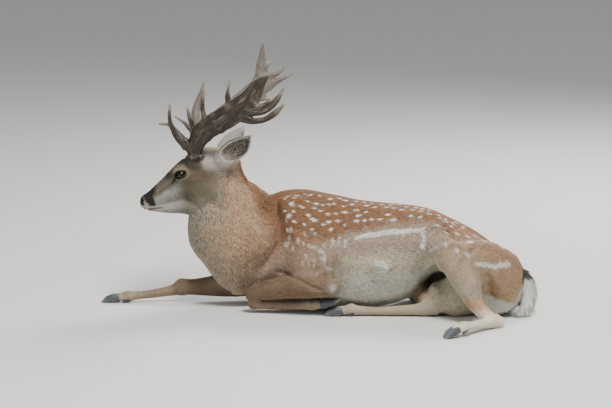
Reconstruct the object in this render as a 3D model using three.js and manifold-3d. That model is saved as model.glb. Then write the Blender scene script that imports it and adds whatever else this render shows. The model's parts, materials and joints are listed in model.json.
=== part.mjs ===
// A life-size fallow buck at rest: it lies on its brisket and right hip with its head up, its right foreleg
// stretched out in front, its left foreleg folded under, and both hind feet out on its left side.
// Millimetres, +Z up. The nose points along -X and the left flank faces -Y. The origin is on the floor, under
// the middle of the animal's bounding box.
import * as THREE from "three";
import { mergeVertices } from "three/addons/utils/BufferGeometryUtils.js";
import Module from "manifold-3d";

const wasm = await Module();
wasm.setup();

// ---------------------------------------------------------------- driving sizes
const GAP = 0.35; // clearance between neighbouring pieces
const NOSE_YAW = 7; // degrees that the head is turned towards the left side
const HEAD_AT = [-380, 0, 430]; // the head's own frame: middle of the skull base
const HEAD_LEAN = 5; // degrees that the top of the head leans to the right
const EYE_AT = [-120, 44, 3]; // in the head's frame, mirrored for the left eye
const EYE_RADIUS = 18.5;
const EAR_WALL = 5;
const WELD = 1e-3; // vertices closer than this are one
const FLOOR_DEPTH = 60; // how far the tool that flattens the underside reaches down
const SPAN_STEPS = 3; // straight spans between two stations of a curve
const LONG_DOME = [35, 62]; // angles of the rings that round off an end
const SHORT_DOME = [45];
const JOINT_CAP = 0.35; // how far a span's rounding reaches into the next one, as a share of its radius

// ---------------------------------------------------------------- materials
const paint = (color, roughness, metalness = 0) =>
  new THREE.MeshStandardMaterial({ color, roughness, metalness });
const COAT = paint(0x9a6a44, 0.9);
const PALE_COAT = paint(0xc9b79c, 0.9);
const WHITE_COAT = paint(0xe8e2d6, 0.9);
const FACE_COAT = paint(0x8d7b68, 0.9);
const ANTLER = paint(0x5a4634, 0.65);
const HOOF = paint(0x39404a, 0.5);
const EYE = paint(0x14100c, 0.12);

// ---------------------------------------------------------------- implicit shapes
// A shape is a function of a point [x, y, z] that gives a rough distance: below 0 inside, above 0 outside.

// An ellipsoid, tipped nose down by tilt degrees about Y.
function blob([cx, cy, cz], [a, b, c], tilt = 0) {
  const cos = Math.cos((tilt * Math.PI) / 180);
  const sin = Math.sin((tilt * Math.PI) / 180);
  return ([px, py, pz]) => {
    const x = (px - cx) * cos - (pz - cz) * sin;
    const z = (px - cx) * sin + (pz - cz) * cos;
    const y = py - cy;
    const k = Math.hypot(x / a, y / b, z / c);
    const slope = Math.hypot(x / (a * a), y / (b * b), z / (c * c));
    return slope < 1e-9 ? -Math.min(a, b, c) : (k * (k - 1)) / slope;
  };
}

// The point at t, from 0 to 1, between the middle two of four stations, on a smooth curve.
function spline(p0, p1, p2, p3, t) {
  return p1.map((_, i) => {
    const [a, b, c, d] = [p0, p1, p2, p3].map((p) => p[i]);
    const bend = 2 * a - 5 * b + 4 * c - d + (3 * b - 3 * c + d - a) * t;
    return b + 0.5 * t * (c - a + t * bend);
  });
}

// Stations along a curve, each span cut into steps.
function refine(stations, steps) {
  const full = stations.map((s) => [...s, ...[0, 0, 0, 20, 20, 0].slice(s.length)]);
  const at = (i) => full[Math.min(Math.max(i, 0), full.length - 1)];
  const out = [];
  for (let i = 0; i < full.length - 1; i++)
    for (let j = 0; j < steps; j++)
      out.push(spline(at(i - 1), at(i), at(i + 1), at(i + 2), j / steps));
  out.push(at(full.length - 1));
  return out;
}

// The two directions across a curve's direction: up as far as can be, turned by roll degrees, and sideways.
function across(direction, up, roll) {
  const flat = up.clone().addScaledVector(direction, -up.dot(direction)).normalize();
  const side = new THREE.Vector3().crossVectors(direction, flat);
  const angle = (roll * Math.PI) / 180;
  const tall = flat.clone().multiplyScalar(Math.cos(angle)).addScaledVector(side, -Math.sin(angle));
  return [tall, new THREE.Vector3().crossVectors(direction, tall)];
}

// A limb, neck or tine: an oval section that changes along a curve. A station is [x, y, z, half height,
// half width, roll], where height is measured along up. The two caps are how far its rounded ends stand out.
function strand(stations, { up = [0, 0, 1], caps = [] } = {}) {
  const fine = refine(stations, SPAN_STEPS);
  const upward = new THREE.Vector3(...up);
  const spans = fine.slice(1).map((b, i) => {
    const a = fine[i];
    const along = new THREE.Vector3(b[0] - a[0], b[1] - a[1], b[2] - a[2]);
    const length = along.length();
    along.divideScalar(length);
    const [tall, wide] = across(along, upward, (a[5] + b[5]) / 2);
    const inner = Math.min(a[3], a[4], b[3], b[4]) * JOINT_CAP;
    const start = i === 0 ? (caps[0] ?? Math.min(a[3], a[4])) : inner;
    const end = i === fine.length - 2 ? (caps[1] ?? Math.min(b[3], b[4])) : inner;
    return { a, b, along, length, tall, wide, start, end };
  });
  return ([x, y, z]) => {
    let nearest = Infinity;
    for (const { a, b, along, length, tall, wide, start, end } of spans) {
      const dx = x - a[0];
      const dy = y - a[1];
      const dz = z - a[2];
      const s = dx * along.x + dy * along.y + dz * along.z;
      const t = Math.min(Math.max(s / length, 0), 1);
      const past = s - t * length;
      const h = dx * tall.x + dy * tall.y + dz * tall.z;
      const w = dx * wide.x + dy * wide.y + dz * wide.z;
      const rh = a[3] + t * (b[3] - a[3]);
      const rw = a[4] + t * (b[4] - a[4]);
      const rp = past < 0 ? start : end;
      const k = Math.hypot(h / rh, w / rw, past / rp);
      const slope = Math.hypot(h / (rh * rh), w / (rw * rw), past / (rp * rp));
      const d = slope < 1e-9 ? -rp : (k * (k - 1)) / slope;
      nearest = Math.min(nearest, d);
    }
    return nearest;
  };
}

// The union of shapes, with fillets of about the size k where they meet.
function blend(k, ...shapes) {
  return (p) =>
    shapes
      .map((shape) => shape(p))
      .reduce((a, b) => {
        const h = Math.max(k - Math.abs(a - b), 0) / k;
        return Math.min(a, b) - (h * h * k) / 4;
      });
}

// ---------------------------------------------------------------- meshing
// How far the surface lies from a point inside the shape, along a unit direction.
function reach(shape, from, direction, grow) {
  const at = (r) => shape(from.map((c, i) => c + direction[i] * r)) - grow;
  const longest = 420;
  let r = 0.5;
  let d = at(r);
  while (d < 0 && r < longest) {
    r += Math.max(-0.7 * d, 0.6);
    d = at(r);
  }
  let [low, high] = [Math.max(r - 12, 0.1), r];
  for (let i = 0; i < 14; i++) {
    const middle = (low + high) / 2;
    if (at(middle) < 0) low = middle;
    else high = middle;
  }
  return high;
}

// A closed mesh of a shape, from rays cast square to an axis, with a dome of rays at each end.
function sleeve(shape, stations, { up = [0, 0, 1], sides, rings, domes = LONG_DOME, grow = 0 }) {
  const path = new THREE.CatmullRomCurve3(
    stations.map(([x, y, z]) => new THREE.Vector3(x, y, z)),
    false,
    "catmullrom",
    0.5,
  );
  const upward = new THREE.Vector3(...up);
  const rows = [];
  const row = (u, polar) => {
    const centre = path.getPointAt(u);
    const along = path.getTangentAt(u);
    const [tall, wide] = across(along, upward, 0);
    const tip = (polar * Math.PI) / 180;
    const points = [];
    for (let i = 0; i < sides; i++) {
      const turn = (i / sides) * Math.PI * 2;
      const ray = tall
        .clone()
        .multiplyScalar(Math.cos(turn) * Math.cos(tip))
        .addScaledVector(wide, Math.sin(turn) * Math.cos(tip))
        .addScaledVector(along, Math.sin(tip));
      const r = reach(shape, centre.toArray(), ray.toArray(), grow);
      points.push(centre.clone().addScaledVector(ray, r));
    }
    rows.push(points);
  };
  const pole = (u, sign) => {
    const centre = path.getPointAt(u);
    const ray = path.getTangentAt(u).multiplyScalar(sign);
    return centre.clone().addScaledVector(ray, reach(shape, centre.toArray(), ray.toArray(), grow));
  };
  for (const polar of [...domes].reverse()) row(0, -polar);
  for (let i = 0; i < rings; i++) row(i / (rings - 1), 0);
  for (const polar of domes) row(1, polar);
  const vertices = [...rows.flat(), pole(0, -1), pole(1, 1)];
  const faces = [];
  const index = (r, i) => r * sides + (i % sides);
  for (let r = 0; r < rows.length - 1; r++)
    for (let i = 0; i < sides; i++) {
      faces.push(index(r, i), index(r, i + 1), index(r + 1, i + 1));
      faces.push(index(r, i), index(r + 1, i + 1), index(r + 1, i));
    }
  const [first, last] = [vertices.length - 2, vertices.length - 1];
  for (let i = 0; i < sides; i++) {
    faces.push(first, index(0, i + 1), index(0, i));
    faces.push(last, index(rows.length - 1, i), index(rows.length - 1, i + 1));
  }
  const geometry = new THREE.BufferGeometry().setFromPoints(vertices);
  geometry.setIndex(faces);
  return geometry;
}

// A closed mesh as a solid to cut and join.
function solid(geometry, matrix = new THREE.Matrix4()) {
  const bare = new THREE.BufferGeometry();
  bare.setAttribute("position", geometry.getAttribute("position").clone());
  if (geometry.index) bare.setIndex(geometry.index);
  bare.applyMatrix4(matrix);
  const merged = mergeVertices(bare, WELD);
  const vertProperties = new Float32Array(merged.attributes.position.array);
  const triVerts = new Uint32Array(merged.index.array);
  return new wasm.Manifold(new wasm.Mesh({ numProp: 3, vertProperties, triVerts }));
}

// A solid back as a three.js geometry.
function geometryOf(made) {
  const { vertProperties, triVerts, numProp } = made.getMesh();
  const positions = vertProperties.filter((_, i) => i % numProp < 3);
  const geometry = new THREE.BufferGeometry();
  geometry.setAttribute("position", new THREE.BufferAttribute(positions, 3));
  geometry.setIndex(new THREE.BufferAttribute(triVerts, 1));
  return geometry;
}

const biggest = (made) => made.decompose().reduce((a, b) => (a.volume() >= b.volume() ? a : b));

// The main body of a cut piece, welded until nothing is left to weld.
function settled(geometry) {
  const next = geometryOf(biggest(solid(geometry)));
  return next.index.count === geometry.index.count ? next : settled(next);
}

// A box between two corners.
function block([x0, y0, z0], [x1, y1, z1], matrix) {
  const geometry = new THREE.BoxGeometry(x1 - x0, y1 - y0, z1 - z0);
  geometry.translate((x0 + x1) / 2, (y0 + y1) / 2, (z0 + z1) / 2);
  return solid(geometry, matrix);
}
const underFloor = block([-1200, -900, -FLOOR_DEPTH], [1200, 900, 0]);

// ---------------------------------------------------------------- the body's shapes
// Stations are [x, y, z, half height, half width, roll]; the rolled ones lean the back to the right.
const TRUNK = [
  [-300, 0, 128, 86, 66, 0],
  [-250, 0, 172, 150, 84, 0],
  [-200, 0, 192, 182, 100, 0],
  [-115, 0, 194, 196, 121, 0],
  [-17, 0, 187, 189, 141, 0],
  [65, 0, 179, 180, 158, 6],
  [146, 0, 180, 171, 170, 12],
  [243, 5, 192, 151, 168, 16],
  [300, 8, 218, 114, 160, 17],
  [345, 10, 219, 96, 148, 18],
  [437, 15, 186, 84, 134, 18],
  [500, 18, 160, 68, 114, 15],
  [545, 18, 134, 56, 96, 12],
  [570, 18, 117, 48, 80, 10],
];
const TRUNK_CAPS = [50, 38];
const SHOULDERS = [-1, 1].flatMap((side) => [
  blob([-118, side * 64, 268], [68, 48, 108], -12),
  blob([-62, side * 106, 190], [86, 48, 92]),
]);
const SEAT = blob([528, -22, 64], [84, 82, 67]);
const trunkShape = blend(26, strand(TRUNK, { caps: TRUNK_CAPS }), SEAT, ...SHOULDERS);

const NECK = [
  [-342, 0, 472, 34, 42],
  [-342, 0, 446, 42, 54],
  [-340, 0, 418, 52, 66],
  [-334, 0, 388, 64, 78],
  [-322, 0, 352, 94, 92],
  [-314, 0, 312, 129, 102],
  [-328, 0, 266, 154, 112],
  [-334, 0, 229, 152, 115],
  [-330, 0, 182, 130, 112],
  [-326, 0, 141, 101, 100],
  [-318, 0, 101, 77, 84],
  [-306, 0, 68, 48, 60],
];
const ALONG_X = [-1, 0, 0];
const NECK_CAPS = [20, 30];
const neckShape = blend(
  20,
  strand(NECK, { up: ALONG_X, caps: NECK_CAPS }),
  blob([-252, 0, 242], [92, 119, 118]),
);

const MUZZLE = [
  [-232, 0, -84, 24, 23],
  [-205, 0, -73, 33, 28],
  [-170, 0, -54, 42, 34],
  [-130, 0, -32, 56, 43],
  [-90, 0, -6, 64, 52],
];
const JAW = [
  [-229, 0, -106, 10, 16],
  [-190, 0, -108, 15, 22],
  [-140, 0, -104, 22, 27],
  [-80, 0, -90, 31, 35],
  [-25, 0, -62, 41, 44],
];
const headShape = blend(
  16,
  strand(MUZZLE),
  strand(JAW),
  blob([-30, 0, 18], [86, 57, 74]),
  blob([-241, 0, -88], [14, 22, 19], 20),
  ...[-1, 1].flatMap((side) => [
    blob([-52, side * 30, -46], [54, 27, 46]),
    blob([-116, side * 38, 8], [34, 20, 24], 20),
    blob([22, side * 46, 48], [30, 22, 28]),
    blob([-76, side * 38, 44], [21, 20, 22]),
  ]),
);
const HEAD_AXIS = [
  [-228, 0, -88],
  [-190, 0, -76],
  [-140, 0, -50],
  [-90, 0, -24],
  [-40, 0, -2],
  [10, 0, 10],
];
const NOSTRIL = { at: [-251, 15, -87], radii: [7, 5, 5] };
const MOUTH = { front: -240, height: -113, length: 205, slope: 8 };

// The near thigh and calf, the rolled hips and the groin.
const THIGH_LEFT = [
  [545, -84, 138, 80, 62],
  [498, -120, 166, 86, 66],
  [448, -158, 188, 76, 58],
  [404, -188, 202, 50, 44],
];
const thighLeft = blend(22, strand(THIGH_LEFT), blob([538, -88, 108], [62, 58, 80], 12));
const THIGH_RIGHT = [
  [540, 78, 95, 80, 62],
  [450, 112, 85, 87, 58],
  [350, 132, 70, 70, 54],
  [268, 140, 58, 58, 50],
];
const groinShape = blend(24, blob([398, -86, 46], [40, 36, 46]), blob([440, -40, 70], [70, 50, 70]));
const GROIN_AXIS = [[392, -84, 46], [415, -64, 56], [445, -42, 68]];
const SHANK_LEFT = [
  [392, -194, 204, 44, 38],
  [422, -204, 164, 44, 36],
  [449, -214, 118, 40, 32],
  [466, -224, 80, 30, 26],
  [491, -238, 50, 23, 20],
  [524, -256, 27, 22, 20],
];
const SHANK_RIGHT = [
  [262, 138, 56, 54, 48],
  [276, 60, 48, 44, 38],
  [296, -40, 38, 32, 27],
  [310, -96, 28, 24, 20],
];

// ---------------------------------------------------------------- limbs
// Each limb is a list of pieces; a foot hangs on its last point.
const LIMBS = {
  foreleg_left: {
    forearm: [
      [4, -152, 97, 33, 28],
      [-60, -147, 99, 41, 32],
      [-120, -140, 95, 40, 31],
      [-180, -132, 84, 35, 28],
      [-235, -124, 72, 29, 26],
      [-252, -120, 60, 27, 25],
    ],
    cannon: [
      [-248, -114, 34, 24, 22],
      [-222, -113, 28, 16, 16],
      [-140, -113, 26, 14, 13.5],
      [-82, -115, 29, 15, 15],
      [-58, -116, 31, 18, 17],
    ],
    foot: { toe: [1, -0.02, 0.05], dorsal: [0, 0, -1], size: 0.96 },
  },
  foreleg_right: {
    forearm: [
      [-255, 84, 74, 48, 40],
      [-310, 71, 62, 47, 38],
      [-370, 56, 57, 42, 34],
      [-420, 43, 53, 34, 28],
      [-470, 33, 51, 28, 25],
      [-506, 27, 52, 28, 26],
    ],
    cannon: [
      [-510, 26, 50, 26, 25],
      [-545, 22, 39, 18, 17],
      [-600, 15, 29, 14.5, 14],
      [-650, 8, 23, 14, 13.5],
      [-686, 4, 20, 17, 16],
    ],
    foot: { toe: [-1, -0.05, -0.11], dorsal: [0, 0, 1], size: 1 },
  },
  hindleg_left: {
    cannon: [
      [552, -250, 20, 15, 14],
      [530, -258, 24, 25, 20],
      [502, -296, 22, 16, 15],
      [466, -354, 25, 14.5, 14],
      [446, -388, 29, 18, 17],
    ],
    foot: { toe: [-0.75, -0.62, -0.16], dorsal: [0, 0, 1], size: 0.87 },
  },
  hindleg_right: {
    cannon: [
      [330, -104, 24, 17, 16],
      [304, -104, 26, 24, 20],
      [262, -108, 22, 17, 16],
      [160, -118, 18, 13.5, 13.5],
      [92, -123, 19, 15, 14],
      [66, -125, 21, 18, 17],
    ],
    foot: { toe: [-1, -0.08, -0.1], dorsal: [0, 0, 1], size: 1 },
  },
};
// A foot's own sizes, along the toe from the fetlock.
const PASTERN_LENGTH = 40;
const CLAW = { start: 34, end: 90, tall: 15, wide: 10.5, apart: 10 };
const DEWCLAW = { back: 15, apart: 10, length: 14, radius: 6 };

// ---------------------------------------------------------------- antlers
// In the head's frame, both written as if on the right side. Stations are [x, y, z, half width, half depth].
const ANTLERS = {
  left: {
    beam: [
      [-76, 42, 54, 22, 22],
      [-75, 47, 76, 21, 20],
      [-71, 57, 100, 27, 19],
      [-56, 74, 130, 32, 17],
      [-32, 92, 156, 33, 15],
      [-2, 112, 174, 31, 14],
    ],
    palm: [
      [-2, 112, 174, 31, 14],
      [48, 145, 206, 33, 12],
      [94, 170, 241, 32, 10],
      [110, 180, 263, 28, 9],
      [128, 189, 292, 23, 8],
      [147, 195, 313, 12, 7],
      [161, 197, 324, 4, 3],
    ],
    brow: [
      [-92, 48, 88, 20, 12],
      [-125, 66, 120, 14, 12],
      [-144, 80, 151, 9, 10],
      [-155, 86, 186, 7, 8],
      [-154, 82, 233, 2, 2],
    ],
    bay: [[-78, 74, 158, 9, 10], [-91, 87, 190, 7, 8], [-97, 94, 221, 2, 2]],
    trez: [[-38, 90, 176, 11, 12], [-48, 110, 216, 7, 8], [-46, 120, 255, 5, 6], [-41, 120, 277, 2, 2]],
    front: [[38, 134, 224, 11, 11], [33, 149, 262, 7, 8], [39, 156, 311, 2, 2]],
    low_speller: [
      [76, 160, 194, 17, 10],
      [120, 176, 184, 10, 9],
      [156, 186, 192, 9, 7],
      [182, 190, 210, 7, 6],
      [207, 190, 227, 2, 2],
    ],
    mid_speller: [
      [96, 172, 212, 15, 10],
      [138, 188, 211, 9, 8],
      [168, 196, 229, 11, 8],
      [190, 198, 251, 10, 7],
      [212, 196, 288, 2, 2],
    ],
    high_speller: [
      [106, 178, 241, 15, 9],
      [135, 186, 230, 8, 7],
      [163, 184, 242, 5, 6],
      [189, 180, 261, 2, 3],
    ],
  },
  right: {
    beam: [
      [-76, 42, 54, 22, 22],
      [-76, 47, 72, 21, 20],
      [-75, 57, 94, 27, 19],
      [-62, 74, 122, 32, 17],
      [-38, 92, 149, 33, 15],
      [-8, 112, 168, 31, 14],
    ],
    palm: [
      [-8, 112, 168, 31, 14],
      [46, 145, 208, 29, 12],
      [101, 170, 254, 30, 10],
      [128, 182, 279, 30, 9],
      [138, 190, 308, 27, 8],
      [134, 196, 338, 19, 7],
      [136, 199, 371, 13, 6],
      [140, 200, 420, 2, 2],
    ],
    brow: [
      [-96, 48, 90, 18, 12],
      [-131, 66, 125, 12, 11],
      [-151, 78, 146, 8, 9],
      [-166, 90, 159, 6, 7],
      [-197, 100, 160, 2, 2],
    ],
    bay: [[-84, 68, 132, 9, 9], [-111, 84, 162, 6, 7], [-144, 92, 184, 2, 2]],
    trez: [
      [-72, 80, 160, 17, 12],
      [-78, 94, 193, 15, 10],
      [-72, 106, 226, 12, 8],
      [-60, 113, 267, 6, 6],
      [-52, 114, 297, 2, 2],
    ],
    back: [[93, 160, 224, 14, 9], [123, 172, 238, 8, 7], [168, 182, 238, 2, 2]],
    low_speller: [
      [129, 180, 269, 21, 8],
      [160, 188, 284, 19, 8],
      [184, 192, 295, 10, 7],
      [237, 196, 321, 2, 2],
    ],
    mid_speller: [
      [135, 188, 305, 20, 8],
      [163, 194, 316, 10, 7],
      [190, 198, 323, 6, 6],
      [214, 200, 346, 2, 2],
    ],
    high_speller: [[132, 196, 346, 13, 6], [154, 199, 353, 8, 5], [173, 202, 362, 2, 2]],
  },
};
const BURR = { at: [-76, 44, 62], radii: [27, 24], height: 10 };

const EARS = {
  left: [
    [8, 50, 58, 15, 14],
    [28, 62, 75, 24, 15],
    [48, 72, 87, 30, 15],
    [69, 82, 99, 30, 13],
    [87, 90, 114, 21, 10],
    [103, 96, 130, 4, 4],
  ],
  right: [
    [0, 50, 68, 15, 14],
    [18, 62, 90, 23, 15],
    [38, 75, 109, 24, 15],
    [57, 86, 126, 19, 13],
    [72, 92, 140, 12, 9],
    [80, 96, 148, 4, 4],
  ],
};
const TAIL = [
  [600, 8, 136, 15, 17],
  [616, 0, 116, 17, 20],
  [626, -15, 88, 20, 24],
  [627, -34, 56, 21, 25],
  [619, -52, 28, 19, 22],
  [608, -64, 14, 12, 14],
];

// ---------------------------------------------------------------- building
const degrees = Math.PI / 180;
const headFrame = new THREE.Matrix4()
  .makeTranslation(...HEAD_AT)
  .multiply(new THREE.Matrix4().makeRotationZ(NOSE_YAW * degrees))
  .multiply(new THREE.Matrix4().makeRotationX(-HEAD_LEAN * degrees));
const SIDES = { left: -1, right: 1 };
const mirrored = (stations, way) => stations.map(([x, y, z, ...rest]) => [x, way * y, z, ...rest]);

// Each maker gives a piece's solid, grown outwards by so many millimetres. A piece is later cut back by the
// ones before it in the list, so a neighbour never overlaps it.
const makers = [];
const piece = (name, material, make) => makers.push({ name, material, make });

const tube = (stations, { up, sides = 8, rings = 5, domes = SHORT_DOME, caps, grow }, frame) =>
  solid(sleeve(strand(stations, { up, caps }), stations, { up, sides, rings, domes, grow }), frame);
const limb = (name, material, stations, options = {}, frame) =>
  piece(name, material, (grow) => tube(stations, { ...options, grow }, frame));

// A foot: the pastern with its two dewclaws, and the two claws.
function foot(name, fetlock, { toe, dorsal, size }) {
  const along = new THREE.Vector3(...toe).normalize();
  const [up, side] = across(along, new THREE.Vector3(...dorsal), 0);
  const from = new THREE.Vector3(...fetlock);
  const at = (a, u, s) =>
    from
      .clone()
      .addScaledVector(along, a * size)
      .addScaledVector(up, u * size)
      .addScaledVector(side, s * size)
      .toArray();
  const upward = up.toArray();
  for (const [which, way] of [["inner", 1], ["outer", -1]]) {
    const apart = way * CLAW.apart;
    const middle = (CLAW.start + CLAW.end) / 2;
    const claw = [
      [...at(CLAW.start, -1, apart), CLAW.tall * 0.8 * size, CLAW.wide * 0.8 * size],
      [...at(CLAW.start + 12, -3, apart), CLAW.tall * size, CLAW.wide * size],
      [...at(middle + 8, -7, apart), CLAW.tall * 0.78 * size, CLAW.wide * 0.86 * size],
      [...at(CLAW.end - 4, -13, apart * 0.7), 4 * size, 4 * size],
    ];
    limb(`${name}_claw_${which}`, HOOF, claw, { up: upward, sides: 6, rings: 3 });
  }
  piece(`${name}_pastern`, PALE_COAT, (grow) => {
    const core = [
      [...at(-6, 0, 0), 17 * size, 17 * size],
      [...at(16, 0, 0), 15 * size, 17 * size],
      [...at(PASTERN_LENGTH, -2, 0), 15 * size, 19 * size],
    ];
    let made = tube(core, { up: upward, sides: 7, rings: 2, grow });
    for (const way of [-1, 1]) {
      const dew = [
        [...at(-2, 5 - DEWCLAW.back, way * DEWCLAW.apart), DEWCLAW.radius * size, DEWCLAW.radius * size],
        [...at(DEWCLAW.length, -DEWCLAW.back - 2, way * DEWCLAW.apart * 1.1), 3 * size, 3 * size],
      ];
      made = made.add(tube(dew, { up: upward, sides: 4, rings: 2, grow }));
    }
    return made;
  });
}

// An ear: a cupped leaf that opens outwards and back.
function ear(way, leaf) {
  const stations = mirrored(leaf, way);
  const up = [-0.62, way * 0.1, 0.78];
  const open = new THREE.Vector3(0.34, way * 0.82, -0.12);
  const hollow = stations.slice(1).map(([x, y, z, tall, wide], i) => {
    const shift = EAR_WALL + wide * 0.55 + i;
    return [
      x + open.x * shift,
      y + open.y * shift,
      z + open.z * shift,
      Math.max(tall - EAR_WALL, 2),
      Math.max(wide, 6),
    ];
  });
  return (grow) => {
    const outside = tube(stations, { up, sides: 9, rings: 6, grow }, headFrame);
    return outside.subtract(tube(hollow, { up, sides: 7, rings: 5, grow: -grow }, headFrame));
  };
}

for (const [side, way] of Object.entries(SIDES)) {
  piece(`eye_${side}`, EYE, (grow) =>
    solid(
      new THREE.SphereGeometry(EYE_RADIUS + grow, 8, 6).translate(EYE_AT[0], way * EYE_AT[1], EYE_AT[2]),
      headFrame,
    ),
  );
}
const headSolid = (grow) => solid(sleeve(headShape, HEAD_AXIS, { sides: 16, rings: 12, grow }), headFrame);
const nostrils = Object.values(SIDES).map((way) => {
  const pit = new THREE.SphereGeometry(1, 6, 4).scale(...NOSTRIL.radii);
  return solid(pit.translate(NOSTRIL.at[0], way * NOSTRIL.at[1], NOSTRIL.at[2]), headFrame);
});
// The lower jaw is parted from the head along the line of the mouth.
const mouthFrame = headFrame
  .clone()
  .multiply(new THREE.Matrix4().makeTranslation(MOUTH.front, 0, MOUTH.height))
  .multiply(new THREE.Matrix4().makeRotationY(-MOUTH.slope * degrees));
const jawBox = (grow) => block([-60, -90, -80], [MOUTH.length + grow, 90, grow], mouthFrame);
piece("head", FACE_COAT, (grow) =>
  nostrils.reduce((made, pit) => made.subtract(pit), headSolid(grow)).subtract(jawBox(-grow)),
);
piece("jaw", FACE_COAT, (grow) => headSolid(grow).intersect(jawBox(grow)));

for (const [side, way] of Object.entries(SIDES)) {
  const { beam, palm, ...tines } = ANTLERS[side];
  const up = [-0.6, way * 0.1, 0.8];
  piece(`ear_${side}`, FACE_COAT, ear(way, EARS[side]));
  piece(`antler_${side}_beam`, ANTLER, (grow) => {
    const [top, bottom] = BURR.radii.map((radius) => radius + grow);
    const burr = new THREE.CylinderGeometry(top, bottom, BURR.height + 2 * grow, 10);
    burr.rotateX(Math.PI / 2).translate(BURR.at[0], way * BURR.at[1], BURR.at[2]);
    return tube(mirrored(beam, way), { up, rings: 6, grow }, headFrame).add(solid(burr, headFrame));
  });
  limb(`antler_${side}_palm`, ANTLER, mirrored(palm, way), { up, rings: 7 }, headFrame);
  for (const [tine, stations] of Object.entries(tines))
    limb(
      `antler_${side}_${tine}`,
      ANTLER,
      mirrored(stations, way),
      { up, sides: 5, rings: stations.length },
      headFrame,
    );
}
piece("neck", COAT, (grow) => solid(sleeve(neckShape, NECK, { up: ALONG_X, sides: 16, rings: 10, grow })));

const trunkSolid = (grow) => solid(sleeve(trunkShape, TRUNK, { sides: 18, rings: 16, grow }));
const TRUNK_CUTS = { chest: [-500, 30], barrel: [30, 330], rump: [330, 800] };
for (const [name, [from, to]] of Object.entries(TRUNK_CUTS))
  piece(name, COAT, (grow) =>
    trunkSolid(grow).intersect(block([from - grow, -400, -100], [to + grow, 400, 600])),
  );
limb("tail", WHITE_COAT, TAIL, { up: [1, 0, 0] });
piece("hindleg_left_thigh", COAT, (grow) =>
  solid(sleeve(thighLeft, THIGH_LEFT, { sides: 10, rings: 6, grow })),
);
limb("hindleg_right_thigh", COAT, THIGH_RIGHT, { sides: 10, domes: LONG_DOME });
limb("hindleg_left_shank", PALE_COAT, SHANK_LEFT, { up: [1, 0, 0] });
piece("groin", WHITE_COAT, (grow) => solid(sleeve(groinShape, GROIN_AXIS, { sides: 10, rings: 3, grow })));
for (const [name, { forearm, cannon, foot: hoof }] of Object.entries(LIMBS)) {
  if (forearm) limb(`${name}_forearm`, COAT, forearm);
  limb(`${name}_cannon`, PALE_COAT, cannon);
  foot(name, cannon.at(-1).slice(0, 3), hoof);
}
limb("hindleg_right_shank", COAT, SHANK_RIGHT);

const grown = [];
const pieces = makers.map(({ name, material, make }) => {
  const whole = make(0);
  const cut = grown.reduce((made, before) => made.subtract(before), whole.subtract(underFloor));
  grown.push(make(GAP).add(whole));
  return { name, material, geometry: geometryOf(biggest(cut)) };
});

// The origin goes on the floor under the middle of the box.
const box = new THREE.Box3();
for (const { geometry } of pieces) {
  geometry.computeBoundingBox();
  box.union(geometry.boundingBox);
}
const deer = new THREE.Group();
for (const { name, material, geometry } of pieces) {
  geometry.translate(-(box.min.x + box.max.x) / 2, -(box.min.y + box.max.y) / 2, -box.min.z);
  const mesh = new THREE.Mesh(settled(geometry), material);
  mesh.name = name;
  deer.add(mesh);
}

export default deer;
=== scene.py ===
# The looks of a fallow buck lying down: one skin with a coat of short tufts over all its flesh, fine antlers,
# hooves, dewclaws and wet eyes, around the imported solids. Shapes are worked out in millimetres in the
# animal's own frame, as in the solids' source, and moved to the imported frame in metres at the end.
import json
import math

import bpy
import numpy as np
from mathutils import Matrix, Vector

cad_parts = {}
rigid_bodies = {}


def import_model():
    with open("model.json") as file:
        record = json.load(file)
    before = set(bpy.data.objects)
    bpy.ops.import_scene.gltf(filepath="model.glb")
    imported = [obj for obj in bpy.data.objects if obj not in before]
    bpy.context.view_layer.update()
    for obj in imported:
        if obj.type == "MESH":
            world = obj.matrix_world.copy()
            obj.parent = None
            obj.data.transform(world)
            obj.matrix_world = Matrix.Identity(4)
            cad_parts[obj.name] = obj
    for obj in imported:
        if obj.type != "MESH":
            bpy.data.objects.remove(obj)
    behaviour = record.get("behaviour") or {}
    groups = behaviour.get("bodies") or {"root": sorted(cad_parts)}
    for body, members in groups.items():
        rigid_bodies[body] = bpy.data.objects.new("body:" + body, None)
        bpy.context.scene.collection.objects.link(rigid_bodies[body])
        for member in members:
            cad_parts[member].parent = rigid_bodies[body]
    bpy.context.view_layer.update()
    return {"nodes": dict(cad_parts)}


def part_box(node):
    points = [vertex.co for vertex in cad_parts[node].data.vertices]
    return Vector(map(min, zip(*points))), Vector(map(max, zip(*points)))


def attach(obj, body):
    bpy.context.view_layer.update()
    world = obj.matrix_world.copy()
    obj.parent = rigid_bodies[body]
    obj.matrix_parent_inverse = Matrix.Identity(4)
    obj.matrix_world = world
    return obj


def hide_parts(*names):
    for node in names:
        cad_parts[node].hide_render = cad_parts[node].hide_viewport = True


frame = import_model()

# ---------------------------------------------------------------- frames
MM_PER_M = 1000
HEAD_AT = np.array([-380.0, 0.0, 430.0])
NOSE_YAW = math.radians(7)
HEAD_LEAN = math.radians(5)
EYE_AT = np.array([-120.0, 44.0, 3.0])  # in the head's frame, mirrored for the left eye
cos_yaw, sin_yaw = math.cos(NOSE_YAW), math.sin(NOSE_YAW)
cos_lean, sin_lean = math.cos(HEAD_LEAN), math.sin(HEAD_LEAN)
TURN = np.array([[cos_yaw, -sin_yaw, 0], [sin_yaw, cos_yaw, 0], [0, 0, 1]]) @ np.array(
    [[1, 0, 0], [0, cos_lean, sin_lean], [0, -sin_lean, cos_lean]]
)


def from_head(points):
    return np.asarray(points, float) @ TURN.T + HEAD_AT


def to_head(points):
    return (points - HEAD_AT) @ TURN


eye_low, eye_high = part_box("eye_left")
eye_middle = np.array((eye_low + eye_high) / 2) * MM_PER_M
OFFSET = eye_middle - from_head(EYE_AT * [1, -1, 1])
OFFSET[2] = 0


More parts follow.
